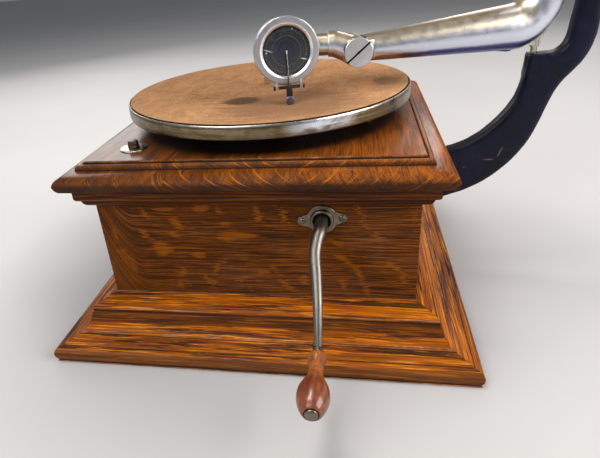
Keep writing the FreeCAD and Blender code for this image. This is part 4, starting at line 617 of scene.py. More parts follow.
def horn_brass():
    """Old lacquered sheet brass: warm, a little uneven, darker where the lacquer has gone."""
    k = Mat("brass_horn")
    o = k.obj()
    a = k.noise(o, 9.0, 5.0, 0.62, 0.6)
    b = k.noise(o, 60.0, 5.0, 0.68, 0.4)
    c = k.noise(k.vmul(o, (300.0, 300.0, 300.0)), 1.0, 3.0, 0.6)
    dent = k.noise(o, 26.0, 2.0, 0.5)
    col = k.mix(k.mr(a, 0.36, 0.66, 0.0, 1.0, True), (0.66, 0.44, 0.155), (0.46, 0.275, 0.085))
    col = k.mix(k.mr(b, 0.56, 0.74, 0.0, 0.7, True), col, (0.23, 0.125, 0.050))
    sp = k.mr(k.voro(o, 150.0), 0.12, 0.04, 0.0, 0.6, True)
    col = k.mix(k.mul(sp, k.mr(b, 0.45, 0.6)), col, (0.10, 0.065, 0.045))
    k.set(color=col, metal=1.0, rough=k.add(k.mr(a, 0.3, 0.7, 0.20, 0.33), k.mr(b, 0.5, 0.75, 0.0, 0.15)),
          normal=k.bump(k.add(dent, k.mul(c, 0.03)), 0.0006, 0.35), coat=0.15, coat_rough=0.2)
    return k.m


def soft_dark(name, base, rough=0.7):
    k = Mat(name)
    o = k.obj()
    a = k.noise(o, 400.0, 4.0, 0.65)
    b = k.noise(o, 60.0, 3.0, 0.6)
    col = k.mix(k.mr(b, 0.3, 0.7), base, tuple(c * 1.8 + 0.01 for c in base))
    k.set(color=col, rough=k.mr(a, 0.3, 0.7, rough - 0.1, rough + 0.1), normal=k.bump(a, 0.0001, 0.5))
    return k.m


PANEL_MARKS = [      # middle along Y and up Z, half length, half width, slope
    (-94.0, 107.0, 12.0, 9.5, 0.0), (-109.0, 122.0, 11.0, 3.0, -49.0), (-47.4, 151.7, 8.0, 5.0, 0.0), (-71.5, 135.0, 9.0, 5.0, -53.0),
    (-78.0, 123.0, 7.0, 2.6, -32.0), (-56.0, 100.0, 8.0, 4.6, -5.0), (-39.6, 86.5, 14.0, 2.4, 52.0), (-16.0, 122.8, 22.0, 3.4, 0.0),
    (-27.0, 119.5, 9.0, 5.0, -10.0), (-78.0, 79.0, 7.0, 2.6, 80.0), (-80.8, 62.9, 5.0, 2.4, 70.0), (-16.5, 72.4, 7.0, 2.4, 38.0),
    (-129.0, 87.0, 14.0, 2.2, -80.0), (-136.0, 96.0, 15.0, 2.0, -77.0), (-142.0, 120.0, 12.0, 1.8, -88.0), (6.0, 147.0, 9.0, 3.0, -71.0),
    (-84.0, 150.2, 13.0, 2.2, 0.0), (86.5, 97.5, 12.0, 3.0, -35.0), (99.5, 82.0, 11.5, 2.8, -64.0), (107.0, 64.5, 10.0, 2.8, -67.0),
    (101.0, 148.5, 9.5, 1.8, -57.0), (105.5, 135.0, 8.0, 1.8, -88.0), (78.7, 115.4, 8.0, 3.2, -35.0), (131.8, 91.0, 8.0, 2.6, -32.0),
    (141.5, 78.0, 11.0, 2.2, -69.0), (32.0, 143.4, 11.0, 2.4, -66.0), (9.0, 142.8, 8.0, 2.4, -75.0), (32.7, 66.4, 13.0, 3.0, -46.0),
    (47.5, 73.2, 8.5, 3.4, -48.0), (6.4, 82.0, 8.0, 2.8, -8.0)]

M = {
    "rim": nickel("nickel_rim", (0.36, 0.315, 0.225), 0.22, 0.9, 0.35, (0.11, 0.062, 0.030), 0.1, groove=0.1508),
    "tube": nickel("nickel_tube", (0.64, 0.615, 0.565), 0.27, 0.30, 0.12, bands=(0.135, 0.165, 0.92)),
    "elbow": nickel("nickel_elbow", (0.86, 0.80, 0.67), 0.28, 0.35, 0.22, bands=(0.30, 0.40, 0.75, 0.052)),
    "cap": nickel("nickel_cap", (0.60, 0.60, 0.64), 0.33, 0.75, 0.35, (0.16, 0.13, 0.12), brush=0.25, slot=0.0175),
    "ring": nickel("nickel_satin", (0.52, 0.52, 0.55), 0.34, 0.30, 0.22, brush=0.2, bevel=0.0243),
    "crank": nickel("nickel_crank", (0.190, 0.172, 0.152), 0.34, 0.7, 0.16, (0.11, 0.08, 0.055), brush=0.1),
    "bright": nickel("nickel_bright", (0.74, 0.72, 0.68), 0.12, 0.2, 0.15),
    "dull": nickel("nickel_dull", (0.128, 0.100, 0.074), 0.27, 0.8, 0.30, (0.12, 0.085, 0.055), 0.15),
    "plate": nickel("nickel_plate", (0.62, 0.58, 0.50), 0.22, 0.5, 0.35),
    "knob": nickel("nickel_knob", (0.13, 0.105, 0.07), 0.28, 0.6, 0.15),
    "steel": metal("steel_bright", (0.42, 0.42, 0.44), 0.26),
    "dark": metal("steel_dark", (0.085, 0.082, 0.085), 0.34, 0.5, (0.03, 0.025, 0.022)),
    "blue": metal("steel_needle_screw", (0.17, 0.17, 0.21), 0.40, 0.5, (0.07, 0.06, 0.06)),
    "brass": metal("brass_dull", (0.50, 0.345, 0.135), 0.30, 0.6, (0.16, 0.10, 0.05)),
    "iron": metal("iron_machined", (0.20, 0.20, 0.21), 0.42),
    "black": ironwork("japanned_iron"),
    "stylus": stylus_mat(),
    "felt": felt_mat(),
    "handle": handle_wood(),
    "mica": mica_mat(),
    "horn": horn_brass(),
    "rubber": soft_dark("rubber_black", (0.012, 0.012, 0.012)),
    "leather": soft_dark("leather_brown", (0.12, 0.06, 0.03), 0.75),
    "oak_lid": oak_lid_mat(),
    "oak_base": oak_streaked("oak_base", "gc", dark=(30.0, 45.0, 0.70)),
    "oak_plinth": oak_streaked("oak_plinth", "gc", (0.40, 0.106, 0.004), (0.185, 0.046, 0.0030), 1.0, 0.540, 0.8, dull=(0.0, 16.2, 0.75)),
    "oak_bed": oak_lines("oak_bed", "gc"),
    "oak_panel": oak_figured("oak_panel", "y", (310.0, 170.0, 0.0), PANEL_MARKS, 0.0, (-152.0, -116.0, -60.0)),
    "oak_panel_x": oak_figured("oak_panel_x", "x", (1700.0, 410.0, 0.0), [], 0.25),
    "oak_raw": oak_raw(),
}


# ------------------------------------------------------------------ mesh helpers
def finish_mesh(me, angle=38.0):
    me.polygons.foreach_set("use_smooth", [True] * len(me.polygons))
    me.set_sharp_from_angle(angle=math.radians(angle))
    me.update()


def piece(name, verts, faces, body, mat, replaces=(), angle=38.0, attrs=None, world=None):
    """A new mesh piece from points in mm."""
    me = bpy.data.meshes.new(name)
    if world is None:
        co = [tuple(c * MM for c in v) for v in verts]
    else:
        co = [tuple((world @ Vector(v)) * MM) for v in verts]
    me.from_pydata(co, [], faces)
    for an, vals in (attrs or {}).items():
        a = me.attributes.new(an, "FLOAT_VECTOR", "POINT")
        a.data.foreach_set("vector", [c for v in vals for c in v])
    bm = bmesh.new()
    bm.from_mesh(me)
    bmesh.ops.recalc_face_normals(bm, faces=bm.faces)
    bm.to_mesh(me)
    bm.free()
    finish_mesh(me, angle)
    o = bpy.data.objects.new(name, me)
    bpy.context.scene.collection.objects.link(o)
    me.materials.append(M[mat] if isinstance(mat, str) else mat)
    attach(o, body)
    if replaces:
        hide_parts(*replaces)
    return o


def catmull(pts, step=0.8):
    """A smooth line through 2-D points (or any length of tuple)."""
    if len(pts) < 3:
        return list(pts)
    P_ = [pts[0]] + list(pts) + [pts[-1]]
    out = []
    for i in range(1, len(P_) - 2):
        d = math.dist(P_[i], P_[i + 1])
        n = max(1, min(12, int(math.ceil(d / step))))
        for k in range(n):
            t = k / n
            out.append(tuple(0.5 * ((2 * b) + (-a + c) * t + (2 * a - 5 * b + 4 * c - e) * t * t + (-a + 3 * b - 3 * c + e) * t ** 3)
                             for a, b, c, e in zip(P_[i - 1], P_[i], P_[i + 1], P_[i + 2])))
    out.append(tuple(pts[-1]))
    return out


def smooth_profile(pts, closed=True, sharp=36.0, step=0.8, r=0.35):
    """Rounds a polyline: gentle corners become curves, sharp corners a small radius."""
    n = len(pts)
    if closed:
        ks = [i for i in range(n) if _turn(pts[i - 1], pts[i], pts[(i + 1) % n]) > sharp]
        if not ks:
            ks = [0]
        start = ks[0]
        seq = [pts[(start + i) % n] for i in range(n + 1)]
    else:
        seq = list(pts)
    runs, cur = [], [seq[0]]
    for i in range(1, len(seq) - 1):
        cur.append(seq[i])
        if _turn(seq[i - 1], seq[i], seq[i + 1]) > sharp:
            runs.append(cur)
            cur = [seq[i]]
    cur.append(seq[-1])
    runs.append(cur)
    fine = [catmull(q, step) for q in runs]

    def cutback(line, at_end, d):
        line = list(line)
        if at_end:
            line.reverse()
        total = sum(math.dist(a, b) for a, b in zip(line, line[1:]))
        d = min(d, total * 0.4)
        while len(line) > 2 and math.dist(line[0], line[1]) <= d:
            d -= math.dist(line[0], line[1])
            line.pop(0)
        a, b = line[0], line[1]
        L = math.dist(a, b)
        t = min(0.9, d / L) if L else 0
        line[0] = tuple(x + (y - x) * t for x, y in zip(a, b))
        if at_end:
            line.reverse()
        return line
    m = len(fine)
    for i in range(m):
        if closed or i > 0:
            fine[i] = cutback(fine[i], False, r)
        if closed or i < m - 1:
            fine[i] = cutback(fine[i], True, r)
    out = []
    for i in range(m):
        out += fine[i]
        if i < m - 1 or closed:
            corner = runs[i][-1]
            a, b = fine[i][-1], fine[(i + 1) % m][0]
            for t in (0.33, 0.67):
                out.append(tuple((1 - t) ** 2 * x + 2 * t * (1 - t) * c + t * t * y for x, c, y in zip(a, corner, b)))
    return out


def _turn(a, b, c):
    u = (b[0] - a[0], b[1] - a[1])
    v = (c[0] - b[0], c[1] - b[1])
    d = math.hypot(*u) * math.hypot(*v)
    if d == 0:
        return 0.0
    return math.degrees(math.acos(max(-1, min(1, (u[0] * v[0] + u[1] * v[1]) / d))))


def lathe(name, prof, body, mat, axis="z", at=(0, 0), segs=160, replaces=(), world=None, closed=True, sharp=36.0,
          step=0.8, r=0.25, angle=38.0, wob=None, local=None, raw=False):
    """Turns an outline (radius, height) about an axis in mm. A point of radius 0 becomes a pole."""
    line = list(prof) if raw else smooth_profile(prof, closed, sharp, step, r)
    verts, faces, idx = [], [], []
    for (rad, h) in line:
        row = []
        if rad < 1e-4:
            verts.append(_place(axis, at, 0.0, 0.0, h))
            row = [len(verts) - 1] * segs
        else:
            for s in range(segs):
                a = 2 * math.pi * s / segs
                rr = rad + (wob(rad, h, a) if wob else 0.0)
                verts.append(_place(axis, at, rr * math.cos(a), rr * math.sin(a), h))
                row.append(len(verts) - 1)
        idx.append(row)
    pairs = list(zip(idx, idx[1:])) + ([(idx[-1], idx[0])] if closed else [])
    for ra, rb in pairs:
        for s in range(segs):
            t = (s + 1) % segs
            q = [ra[s], ra[t], rb[t], rb[s]]
            u = []
            for i in q:
                if i not in u:
                    u.append(i)
            if len(u) >= 3:
                faces.append(u)
    attrs = None
    if local:
        attrs = {"lc": [((v[0] - local[0]) * MM, (v[1] - local[1]) * MM, (v[2] - local[2]) * MM) for v in verts]}
    return piece(name, verts, faces, body, mat, replaces, angle, attrs, world)


def _place(axis, at, u, v, h):
    if axis == "z":
        return (at[0] + u, at[1] + v, h)
    if axis == "x":
        return (h, at[0] + u, at[1] + v)
    return (at[0] + u, h, at[1] + v)


def tube(name, path, body, mat, segs=40, replaces=(), world=None, caps=True, angle=38.0):
    """A tube through (x, y, z, r) or (x, y, z, ra, rb) points in mm, with steady frames."""
    pts = [Vector(p[:3]) for p in path]
    verts, faces = [], []
    up = None
    for i, p in enumerate(pts):
        d = (pts[min(i + 1, len(pts) - 1)] - pts[max(i - 1, 0)]).normalized()
        if up is None:
            up = Vector((0, 1, 0)) if abs(d.y) < 0.9 else Vector((0, 0, 1))
        side = d.cross(up).normalized()
        up = side.cross(d).normalized()
        ra = path[i][3]
        rb = path[i][4] if len(path[i]) > 4 else ra
        for s in range(segs):
            a = 2 * math.pi * s / segs
            verts.append(tuple(p + up * (ra * math.cos(a)) + side * (rb * math.sin(a))))
    for i in range(len(pts) - 1):
        for s in range(segs):
            t = (s + 1) % segs
            faces.append([i * segs + s, i * segs + t, (i + 1) * segs + t, (i + 1) * segs + s])
    if caps:
        faces.append(list(range(segs))[::-1])
        n = (len(pts) - 1) * segs
        faces.append([n + s for s in range(segs)])
    return piece(name, verts, faces, body, mat, replaces, angle, None, world)


def refine(node, body, mat, bevel=0.0, segs=2, angle=35.0, limit=35.0, name=None, dissolve=True):
    """A cleaned copy of a CAD node with rounded edges, in its place."""
    src = NODES[node]
    me = src.data.copy()
    me.materials.clear()
    me.materials.append(M[mat] if isinstance(mat, str) else mat)
    bm = bmesh.new()
    bm.from_mesh(me)
    bmesh.ops.remove_doubles(bm, verts=bm.verts, dist=2e-6)
    if dissolve:
        bmesh.ops.dissolve_limit(bm, angle_limit=math.radians(0.6), verts=bm.verts, edges=bm.edges)
    bmesh.ops.recalc_face_normals(bm, faces=bm.faces)
    for f in bm.faces:
        f.material_index = 0
    bm.to_mesh(me)
    bm.free()
    me.name = name or node + "_look"
    finish_mesh(me, angle)
    o = bpy.data.objects.new(name or node + "_look", me)
    bpy.context.scene.collection.objects.link(o)
    if bevel:
        b = o.modifiers.new("edge", "BEVEL")
        b.width = bevel * MM
        b.segments = segs
        b.limit_method = "ANGLE"
        b.angle_limit = math.radians(limit)
        b.harden_normals = True
        b.miter_outer = "MITER_ARC"
    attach(o, body)
    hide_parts(node)
    return o


def cast_copy(node, body, mat, voxel, soften, keep=None, rounds=0, subdiv=0, decimate=0.0, name=None):
    """A CAD node remeshed and softened like a casting; keep(co) in mm gives 0 where a machined face stays sharp."""
    me = NODES[node].data.copy()
    me.materials.clear()
    tmp = bpy.data.objects.new("tmp_" + node, me)
    bpy.context.scene.collection.objects.link(tmp)
    r = tmp.modifiers.new("r", "REMESH")
    r.mode, r.voxel_size, r.adaptivity = "VOXEL", voxel * MM, 0.0
    dg = bpy.context.evaluated_depsgraph_get()
    new = bpy.data.meshes.new_from_object(tmp.evaluated_get(dg))
    bpy.data.objects.remove(tmp)
    bm = bmesh.new()
    bm.from_mesh(new)
    if keep is not None and rounds:
        soft = [v for v in bm.verts if keep(v.co * 1000.0)]
        for _ in range(rounds):
            bmesh.ops.smooth_vert(bm, verts=soft, factor=0.5, use_axis_x=True, use_axis_y=True, use_axis_z=True)
    for _ in range(soften):
        bmesh.ops.smooth_vert(bm, verts=bm.verts, factor=0.5, use_axis_x=True, use_axis_y=True, use_axis_z=True)
    bm.to_mesh(new)
    bm.free()
    finish_mesh(new, 60.0)
    new.name = name or node + "_cast"
    o = bpy.data.objects.new(name or node + "_cast", new)
    bpy.context.scene.collection.objects.link(o)
    new.materials.clear()
    new.materials.append(M[mat])
    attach(o, body)
    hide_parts(node)
    return o


def plain(node, mat):
    o = NODES[node]
    o.data.materials.clear()
    o.data.materials.append(M[mat] if isinstance(mat, str) else mat)


# ------------------------------------------------------------------ wooden case
def corner_marks(line, closed=True):
    """How far each point of an outline stands on an arris (x) or in a quirk (y)."""
    n = len(line)
    area = sum(line[i - 1][0] * line[i][1] - line[i][0] * line[i - 1][1] for i in range(n))
    sign = 1.0 if area > 0 else -1.0
    res = []
    for i in range(n):
        if not closed and (i == 0 or i == n - 1):
            res.append((0.0, 0.0, 0.0))
            continue
        def walk(step):
            d, j = 0.0, i
            while d < 1.3:
                k = j + step
                if not closed and not 0 <= k < n:
                    break
                k %= n
                d += math.dist(line[j], line[k])
                j = k
            return line[j]
        a, b, c = walk(-1), line[i], walk(1)
        u, v = (b[0] - a[0], b[1] - a[1]), (c[0] - b[0], c[1] - b[1])
        t = sign * math.degrees(math.atan2(u[0] * v[1] - u[1] * v[0], u[0] * v[0] + u[1] * v[1]))
        res.append((max(0.0, min(1.0, (t - 16.0) / 30.0)), max(0.0, min(1.0, (-t - 12.0) / 30.0)), 0.0))
    return res


def mitred(name, hx, hy, prof, mat, node, tilt=45.0, seed=0, r=0.4, step=0.9, gap=0.10):
    """Four mitred lengths; each keeps its own grain."""
    line = smooth_profile(prof, True, 36.0, step, r)
    marks = corner_marks(line)
    verts, faces, gc, ew = [], [], [], []
    ca, sa = math.cos(math.radians(tilt)), math.sin(math.radians(tilt))
    rr = random.Random(seed)
    for side in range(4):
        a, b = (hx, hy) if side in (0, 2) else (hy, hx)
        off = (rr.uniform(0, 5), rr.uniform(0, 5), rr.uniform(0, 5))
        rot = Matrix.Rotation(math.radians(90 * side), 3, "Z")
        N = 16
        base = len(verts)
        for j in range(N + 1):
            f = -1 + 2 * j / N
            for (t, z), m in zip(line, marks):
                y = f * (b - t - gap)
                verts.append(tuple(rot @ Vector((a - t, y, z))))
                gc.append(((y * MM) + off[0], ((a - t) * ca + z * sa) * MM + off[1], (-(a - t) * sa + z * ca) * MM + off[2]))
                ew.append(m)
        L = len(line)
        for j in range(N):
            for i in range(L):
                k = (i + 1) % L
                faces.append([base + j * L + i, base + j * L + k, base + (j + 1) * L + k, base + (j + 1) * L + i])
        faces.append([base + i for i in range(L)])
        faces.append([base + N * L + i for i in range(L)][::-1])
    o = piece(name, verts, faces, "case", mat, (node,), 40.0, {"gc": gc, "ew": ew})
    return o


mitred("plinth_oak", PX, PY, plinth_prof, "oak_plinth", "plinth_boards", 62.0, 3)
mitred("base_moulding_oak", PX, PY, base_prof, "oak_base", "base_moulding", 20.0, 11)
mitred("bed_moulding_oak", LX, LY, bed_prof, "oak_bed", "bed_moulding", 10.0, 5)


def lid():
    """Three planks with the moulded edge worked round them; their near ends show end grain."""
    line = smooth_profile(lid_prof, False, 36.0, 0.8, 0.35)
    marks = corner_marks([(30.0, 170.0)] + line + [(40.0, 200.8)], True)[1:-1]
    marks[0] = marks[-1] = (0.0, 0.0, 0.0)
    bm = bmesh.new()
    lay = bm.verts.layers.float_vector.new("gc")
    lay2 = bm.verts.layers.float_vector.new("ew")
    rings = []
    for (t, z), m in zip(line, marks):
        x, y = LX - t, LY - t
        ring = [bm.verts.new((sx * x * MM, sy * y * MM, z * MM)) for sx, sy in ((1, -1), (1, 1), (-1, 1), (-1, -1))]
        for v in ring:
            v[lay2] = m
        rings.append(ring)
    for a, b in zip(rings, rings[1:]):
        for s in range(4):
            t = (s + 1) % 4
            bm.faces.new([a[s], a[t], b[t], b[s]])
    inner = [bm.verts.new((sx * (LX - 40.0) * MM, sy * (LY - 40.0) * MM, 200.8 * MM)) for sx, sy in ((1, -1), (1, 1), (-1, 1), (-1, -1))]
    for s in range(4):
        t = (s + 1) % 4
        bm.faces.new([rings[-1][s], rings[-1][t], inner[t], inner[s]])
    bm.faces.new(inner)
    bm.faces.new(rings[0][::-1])
    for i, (ya, yb) in enumerate(((-400, -70.0), (-70.0, 50.0), (50.0, 400))):
        b = bm.copy()
        for y, nrm in ((ya + 0.05, (0, -1, 0)), (yb - 0.05, (0, 1, 0))):
            if abs(y) > 300:
                continue
            g = b.verts[:] + b.edges[:] + b.faces[:]
            res = bmesh.ops.bisect_plane(b, geom=g, dist=1e-7, plane_co=(0, y * MM, 0), plane_no=nrm, clear_outer=True)
            es = [e for e in res["geom_cut"] if isinstance(e, bmesh.types.BMEdge)]
            bmesh.ops.contextual_create(b, geom=es)
        lay = b.verts.layers.float_vector["gc"]
        off = ((0.9, 0.0, 0.35), (3.1, 0.4, 1.2), (5.7, 0.7, 2.6))[i]
        tilt = math.radians((58.0, 27.0, -34.0)[i])
        c, s = math.cos(tilt), math.sin(tilt)
        for v in b.verts:
            yy, zz = v.co.y - (-0.12, -0.01, 0.11)[i], v.co.z - 0.19
            v[lay] = (v.co.x + off[0], yy * c - zz * s + off[1], yy * s + zz * c + off[2])
        me = bpy.data.meshes.new("lid_plank_%d" % i)
        bmesh.ops.recalc_face_normals(b, faces=b.faces)
        b.to_mesh(me)
        b.free()
        finish_mesh(me, 40.0)
        me.materials.append(M["oak_lid"])
        o = bpy.data.objects.new("lid_plank_%d" % i, me)
        bpy.context.scene.collection.objects.link(o)
        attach(o, "case")
        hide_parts("lid_planks")
    bm.free()


lid()
refine("case_crank_panel", "case", "oak_panel", 0.5, limit=60.0)
refine("case_plain_panels", "case", "oak_panel_x", 0.5, limit=60.0)
plain("bottom_board", "oak_raw")
plain("corner_blocks", "oak_raw")

# ------------------------------------------------------------------ turntable
rim_prof = [(R_TT - 2.4, Z_RIM0 + 0.9), (R_TT - 1.4, Z_RIM0), (R_TT - 0.7, Z_RIM0), (R_TT, Z_RIM0 + 0.9), (R_TT, Z_RIM1 - 1.0),
            (R_TT - 0.6, Z_RIM1), (R_TT - 1.1, Z_RIM1), (R_TT - 1.7, Z_RIM1 - 0.6), (R_TT - 1.7, Z_WEB1), (4.4, Z_WEB1), (5.2, 208.0),
            (12.0, 208.0), (12.6, 209.0), (12.0, 226.6), (R_TT - 2.4, 226.6)]
lathe("platter_nickel", rim_prof, "turntable", "rim", segs=256, replaces=("turntable_platter",), step=3.0, r=0.4)


def felt():
    verts, faces = [], []
    radii = [3.95] + [3.95 + (R_FELT - 4.6 - 3.95) * i / 60 for i in range(1, 61)] + [R_FELT - 0.25, R_FELT, R_FELT]
    segs = 240
    for i, r in enumerate(radii):
        for s in range(segs):
            a = 2 * math.pi * s / segs
            x, y = r * math.cos(a), r * math.sin(a)
            n = noise.noise(Vector((x * 0.09, y * 0.09, 0.3))) * 0.10 + noise.noise(Vector((x * 0.5, y * 0.5, 5.1))) * 0.06
            z = Z_FELT + min(0.0, n - 0.02) if i < 61 else (Z_FELT - 0.25 if i == 61 else (Z_FELT - 0.8 if i == 62 else Z_WEB1 + 0.02))
            wob = 0.16 * noise.noise(Vector((math.cos(a) * 9, math.sin(a) * 9, 1.0))) + 0.10 * noise.noise(Vector((math.cos(a) * 60, math.sin(a) * 60, 2.0)))
            if i >= 61:
                x += (wob - 0.25) * math.cos(a)
                y += (wob - 0.25) * math.sin(a)
            verts.append((x, y, z))
    for s in range(segs):
        a = 2 * math.pi * s / segs
        verts.append((3.95 * math.cos(a), 3.95 * math.sin(a), Z_WEB1 + 0.02))
    R = len(radii)
    for i in range(R - 1):
        for s in range(segs):
            t = (s + 1) % segs
            faces.append([i * segs + s, i * segs + t, (i + 1) * segs + t, (i + 1) * segs + s])
    for s in range(segs):
        t = (s + 1) % segs
        faces.append([(R - 1) * segs + s, (R - 1) * segs + t, R * segs + t, R * segs + s])
        faces.append([R * segs + s, R * segs + t, t, s])
    piece("felt_disc", verts, faces, "turntable", "felt", ("felt_mat",), 50.0)


felt()
plain("spindle", "bright")

# ------------------------------------------------------------------ crank
# x, z and the two half widths of the section: across the sweep, and towards the front and rear
# the neck bows a little towards the front before it runs straight to the eye
spine = catmull([(129.2, CY, CZ, 5.85, 5.85), (150.0, CY, 140.4, 5.9, 5.9), (158.0, CY - 0.3, 139.6, 5.85, 5.9), (166.0, CY - 1.1, 137.2, 5.5, 5.8),
                 (174.0, CY - 3.2, 132.4, 4.9, 5.5), (184.0, CY - 4.4, 124.0, 4.3, 5.2), (199.0, CY - 2.5, 111.0, 3.7, 4.7), (214.0, CY - 0.9, 96.0, 3.5, 4.2),
                 (224.5, CY - 0.3, 82.5, 3.4, 3.8), (231.5, CY, 72.0, 3.4, 3.5), (235.6, CY, 65.4, 3.3, 3.3)], 1.6)
tube("crank_rod", [(p[0], p[1], p[2], p[4], p[3]) for p in spine], "crank", "crank", 56, replaces=("crank_arm",), angle=50.0)
lathe("crank_eye", [(0.0, 230.9), (2.2, 231.2), (3.9, 232.6), (4.4, 234.4), (4.4, 238.4), (3.9, 238.8), (2.9, 238.9), (2.9, 304.4),
                    (5.1, 304.4), (5.15, 304.9), (4.5, 305.7), (3.0, 306.3), (1.2, 306.55), (0.0, 306.58)], "crank", "dull", "x",
      (CY, CZ - 76.0), 64, ("crank_arm",), closed=False, sharp=50.0, r=0.15)
plain("winding_shaft", "steel")
refine("handle_ferrule", "handle", "bright", 0.2)
hp = [(2.96, 243.7), (6.2, 243.7), (7.4, 244.8), (8.0, 246.8), (7.8, 249.2), (7.2, 251.6), (6.6, 254.0), (6.1, 258.0),
      (5.9, 262.5), (6.4, 266.5), (7.9, 271.0), (10.0, 276.0), (11.8, 281.0), (12.7, 286.0), (12.6, 290.5), (11.7, 295.0),
      (10.3, 299.0), (8.8, 302.0), (7.4, 303.9), (6.4, 304.6), (5.6, 304.2), (5.4, 303.0), (2.96, 303.0)]
lathe("handle_turned", hp, "handle", "handle", "x", (CY, CZ - 76.0), 96, ("crank_handle",), sharp=50.0, r=0.2)

# ------------------------------------------------------------------ tone arm
refine("tone_arm_tube", "tone_arm", "tube", 0.0, angle=30.0, dissolve=False)
refine("arm_pivot_pin", "tone_arm", "plate", 0.2)
refine("elbow_cap_screw", "tone_arm", "cap", 0.15)
cast_copy("elbow_casting", "elbow", "elbow", 0.55, 6)
refine("gooseneck_tube", "elbow", "elbow", 0.0, angle=30.0, dissolve=False)

# ------------------------------------------------------------------ soundbox
sbc = (SB_D, 0.0, SB_Z)
lathe("soundbox_back", [(13.4, 6.4), (19.5, 6.4), (28.0, 8.9), (28.8, 9.7), (28.8, 15.4), (24.4, 15.4), (24.4, 14.0), (21.9, 14.0),
                        (21.6, 10.6), (18.6, 8.4), (13.4, 8.4)], "soundbox", "dull", "y", (SB_D, SB_Z), 160, ("soundbox_shell",), ARM)
plain("soundbox_rubbers", "rubber")
lathe("mica_disc", [(0.0, 15.2), (24.1, 15.2), (24.1, 15.6), (0.0, 15.6)], "soundbox", "mica", "y", (SB_D, SB_Z), 160, ("diaphragm",),
      ARM, local=(SB_D, 15.5, SB_Z), closed=False)
refine("soundbox_face_ring", "soundbox", "ring", 0.25, dissolve=False)
refine("stylus_pivot_screws", "soundbox", "dark", 0.1)
refine("stylus_bar", "stylus", "stylus", 0.1)
refine("needle_screw", "needle_screw", "blue", 0.15)

# ------------------------------------------------------------------ small hardware
refine("crank_escutcheon", "case", "dull", 0.25)
refine("round_head_screws", "case", "dull", 0.1)
refine("control_plate", "case", "plate", 0.2)
refine("speed_knob", "speed_knob", "knob", 0.25)
cast_copy("bracket_casting", "case", "black", 1.7, 3,
          lambda c: 176.0 < c.y and 60.0 < c.z < 340.0 and not (c.z > 230.0 and abs(c.y - PIV) < 14.0), 22)
refine("bracket_screws", "case", "dark", 0.3)
refine("horn_clamp_screw", "clamp", "plate", 0.3)
refine("brake_plate", "case", "plate", 0.2)
refine("brake_lever", "brake", "dull", 0.3)
plain("brake_pad", "leather")

for n, m in {"spindle_gears": "brass", "intermediate_arbor": "brass", "spring_barrel": "iron", "barrel_cover": "brass",
             "mainspring": "dark", "winding_arbor": "steel", "winding_bevel_wheel": "steel", "ratchet_pawl": "dark",
             "governor_shaft": "steel", "governor_weights": "brass", "governor_springs": "dark", "friction_disc": "brass",
             "speed_lever": "dark", "motor_bedplate": "iron", "motor_lower_plate": "iron", "motor_pillars": "steel",
             "motor_bolts": "dark", "motor_grommets": "rubber"}.items():
    plain(n, m)

# ------------------------------------------------------------------ horn
refine("horn_elbow", "horn", "horn", 0.3, angle=30.0, dissolve=False)
refine("horn_neck", "horn", "horn", 0.3, angle=30.0, dissolve=False)
refine("horn_petals", "horn", "horn", 0.0, angle=30.0, dissolve=False)
refine("horn_seam_ribs", "horn", "horn", 0.0, angle=30.0, dissolve=False)


# ------------------------------------------------------------------ floor, light, camera
def floor():
    me = bpy.data.meshes.new("floor")
    s = 14.0
    me.from_pydata([(-s, -s, 0), (s, -s, 0), (s, s, 0), (-s, s, 0)], [], [(0, 1, 2, 3)])
    o = bpy.data.objects.new("floor", me)
    bpy.context.scene.collection.objects.link(o)
    k = Mat("floor_pale")
    k.set(color=k.mix(k.mr(k.noise(k.obj(), 3.0, 3.0), 0.3, 0.7), (0.455, 0.455, 0.46), (0.48, 0.48, 0.485)), rough=0.75)
    me.materials.append(k.m)


floor()


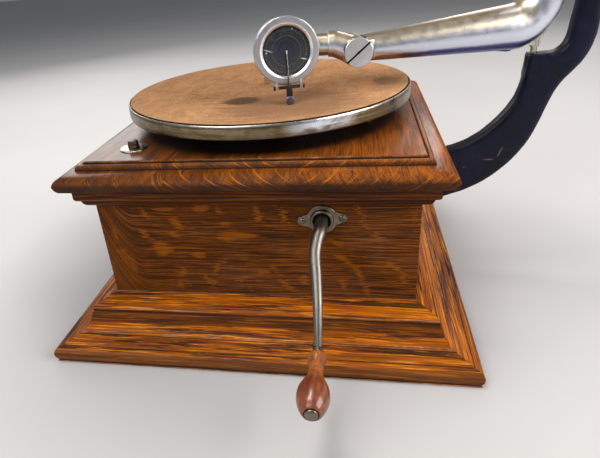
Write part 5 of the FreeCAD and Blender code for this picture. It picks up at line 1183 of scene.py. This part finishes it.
def area(name, loc, target, size, power, color=(1, 1, 1), size_y=None):
    l = bpy.data.lights.new(name, "AREA")
    l.energy, l.size, l.color = power, size, color
    if size_y:
        l.shape, l.size_y = "RECTANGLE", size_y
    o = bpy.data.objects.new(name, l)
    bpy.context.scene.collection.objects.link(o)
    o.location = loc
    o.rotation_mode = "QUATERNION"
    o.rotation_quaternion = (Vector(target) - Vector(loc)).to_track_quat("-Z", "Y")
    return o


area("key", (0.0, -0.60, 2.1), (0, -0.02, 0.2), 1.0, 50.0, (1.0, 0.95, 0.885))
area("front", (1.35, -0.85, 1.50), (0, 0.0, 0.12), 1.2, 21.0, (0.95, 0.97, 1.0))
area("side", (0.55, 1.85, 1.10), (0, 0.05, 0.12), 1.3, 45.0, (1.0, 0.94, 0.89))
area("back_left", (-1.45, -1.20, 0.95), (0, -0.05, 0.2), 1.3, 10.0, (1.0, 0.95, 0.92), 0.7)
area("back_right", (-1.7, 0.85, 1.15), (0, 0.1, 0.2), 1.0, 9.0, (1.0, 0.92, 0.89), 0.7)
w = bpy.data.worlds.new("studio")
w.use_nodes = True
w.node_tree.nodes["Background"].inputs[0].default_value = (0.88, 0.92, 1.0, 1.0)
w.node_tree.nodes["Background"].inputs[1].default_value = 0.20
bpy.context.scene.world = w

F, PXC, PYC, YAW, PITCH, ROLL = 504.263, 256.643, 225.854, -0.221, 0.478, -0.097
cyw, syw, cp, sp = math.cos(YAW), math.sin(YAW), math.cos(PITCH), math.sin(PITCH)
fwd = Vector((-cyw * cp, syw * cp, -sp))
r0 = Vector((syw, cyw, 0.0))
u0 = r0.cross(fwd)
right = r0 * math.cos(ROLL) + u0 * math.sin(ROLL)
upv = -r0 * math.sin(ROLL) + u0 * math.cos(ROLL)
cam = bpy.data.cameras.new("camera")
cam.sensor_width = 36.0
cam.lens = F / 600.0 * 36.0
cam.shift_x = (300.0 - PXC) / 600.0
cam.shift_y = (PYC - 229.0) / 600.0
cam.clip_start = 0.01
co = bpy.data.objects.new("camera", cam)
bpy.context.scene.collection.objects.link(co)
co.matrix_world = Matrix.Translation((0.559050, 0.097938, 0.351451)) @ Matrix((
    (right.x, upv.x, -fwd.x), (right.y, upv.y, -fwd.y), (right.z, upv.z, -fwd.z))).to_4x4()
bpy.context.scene.camera = co
bpy.context.scene.view_settings.view_transform = "Standard"
bpy.context.scene.view_settings.look = "None"
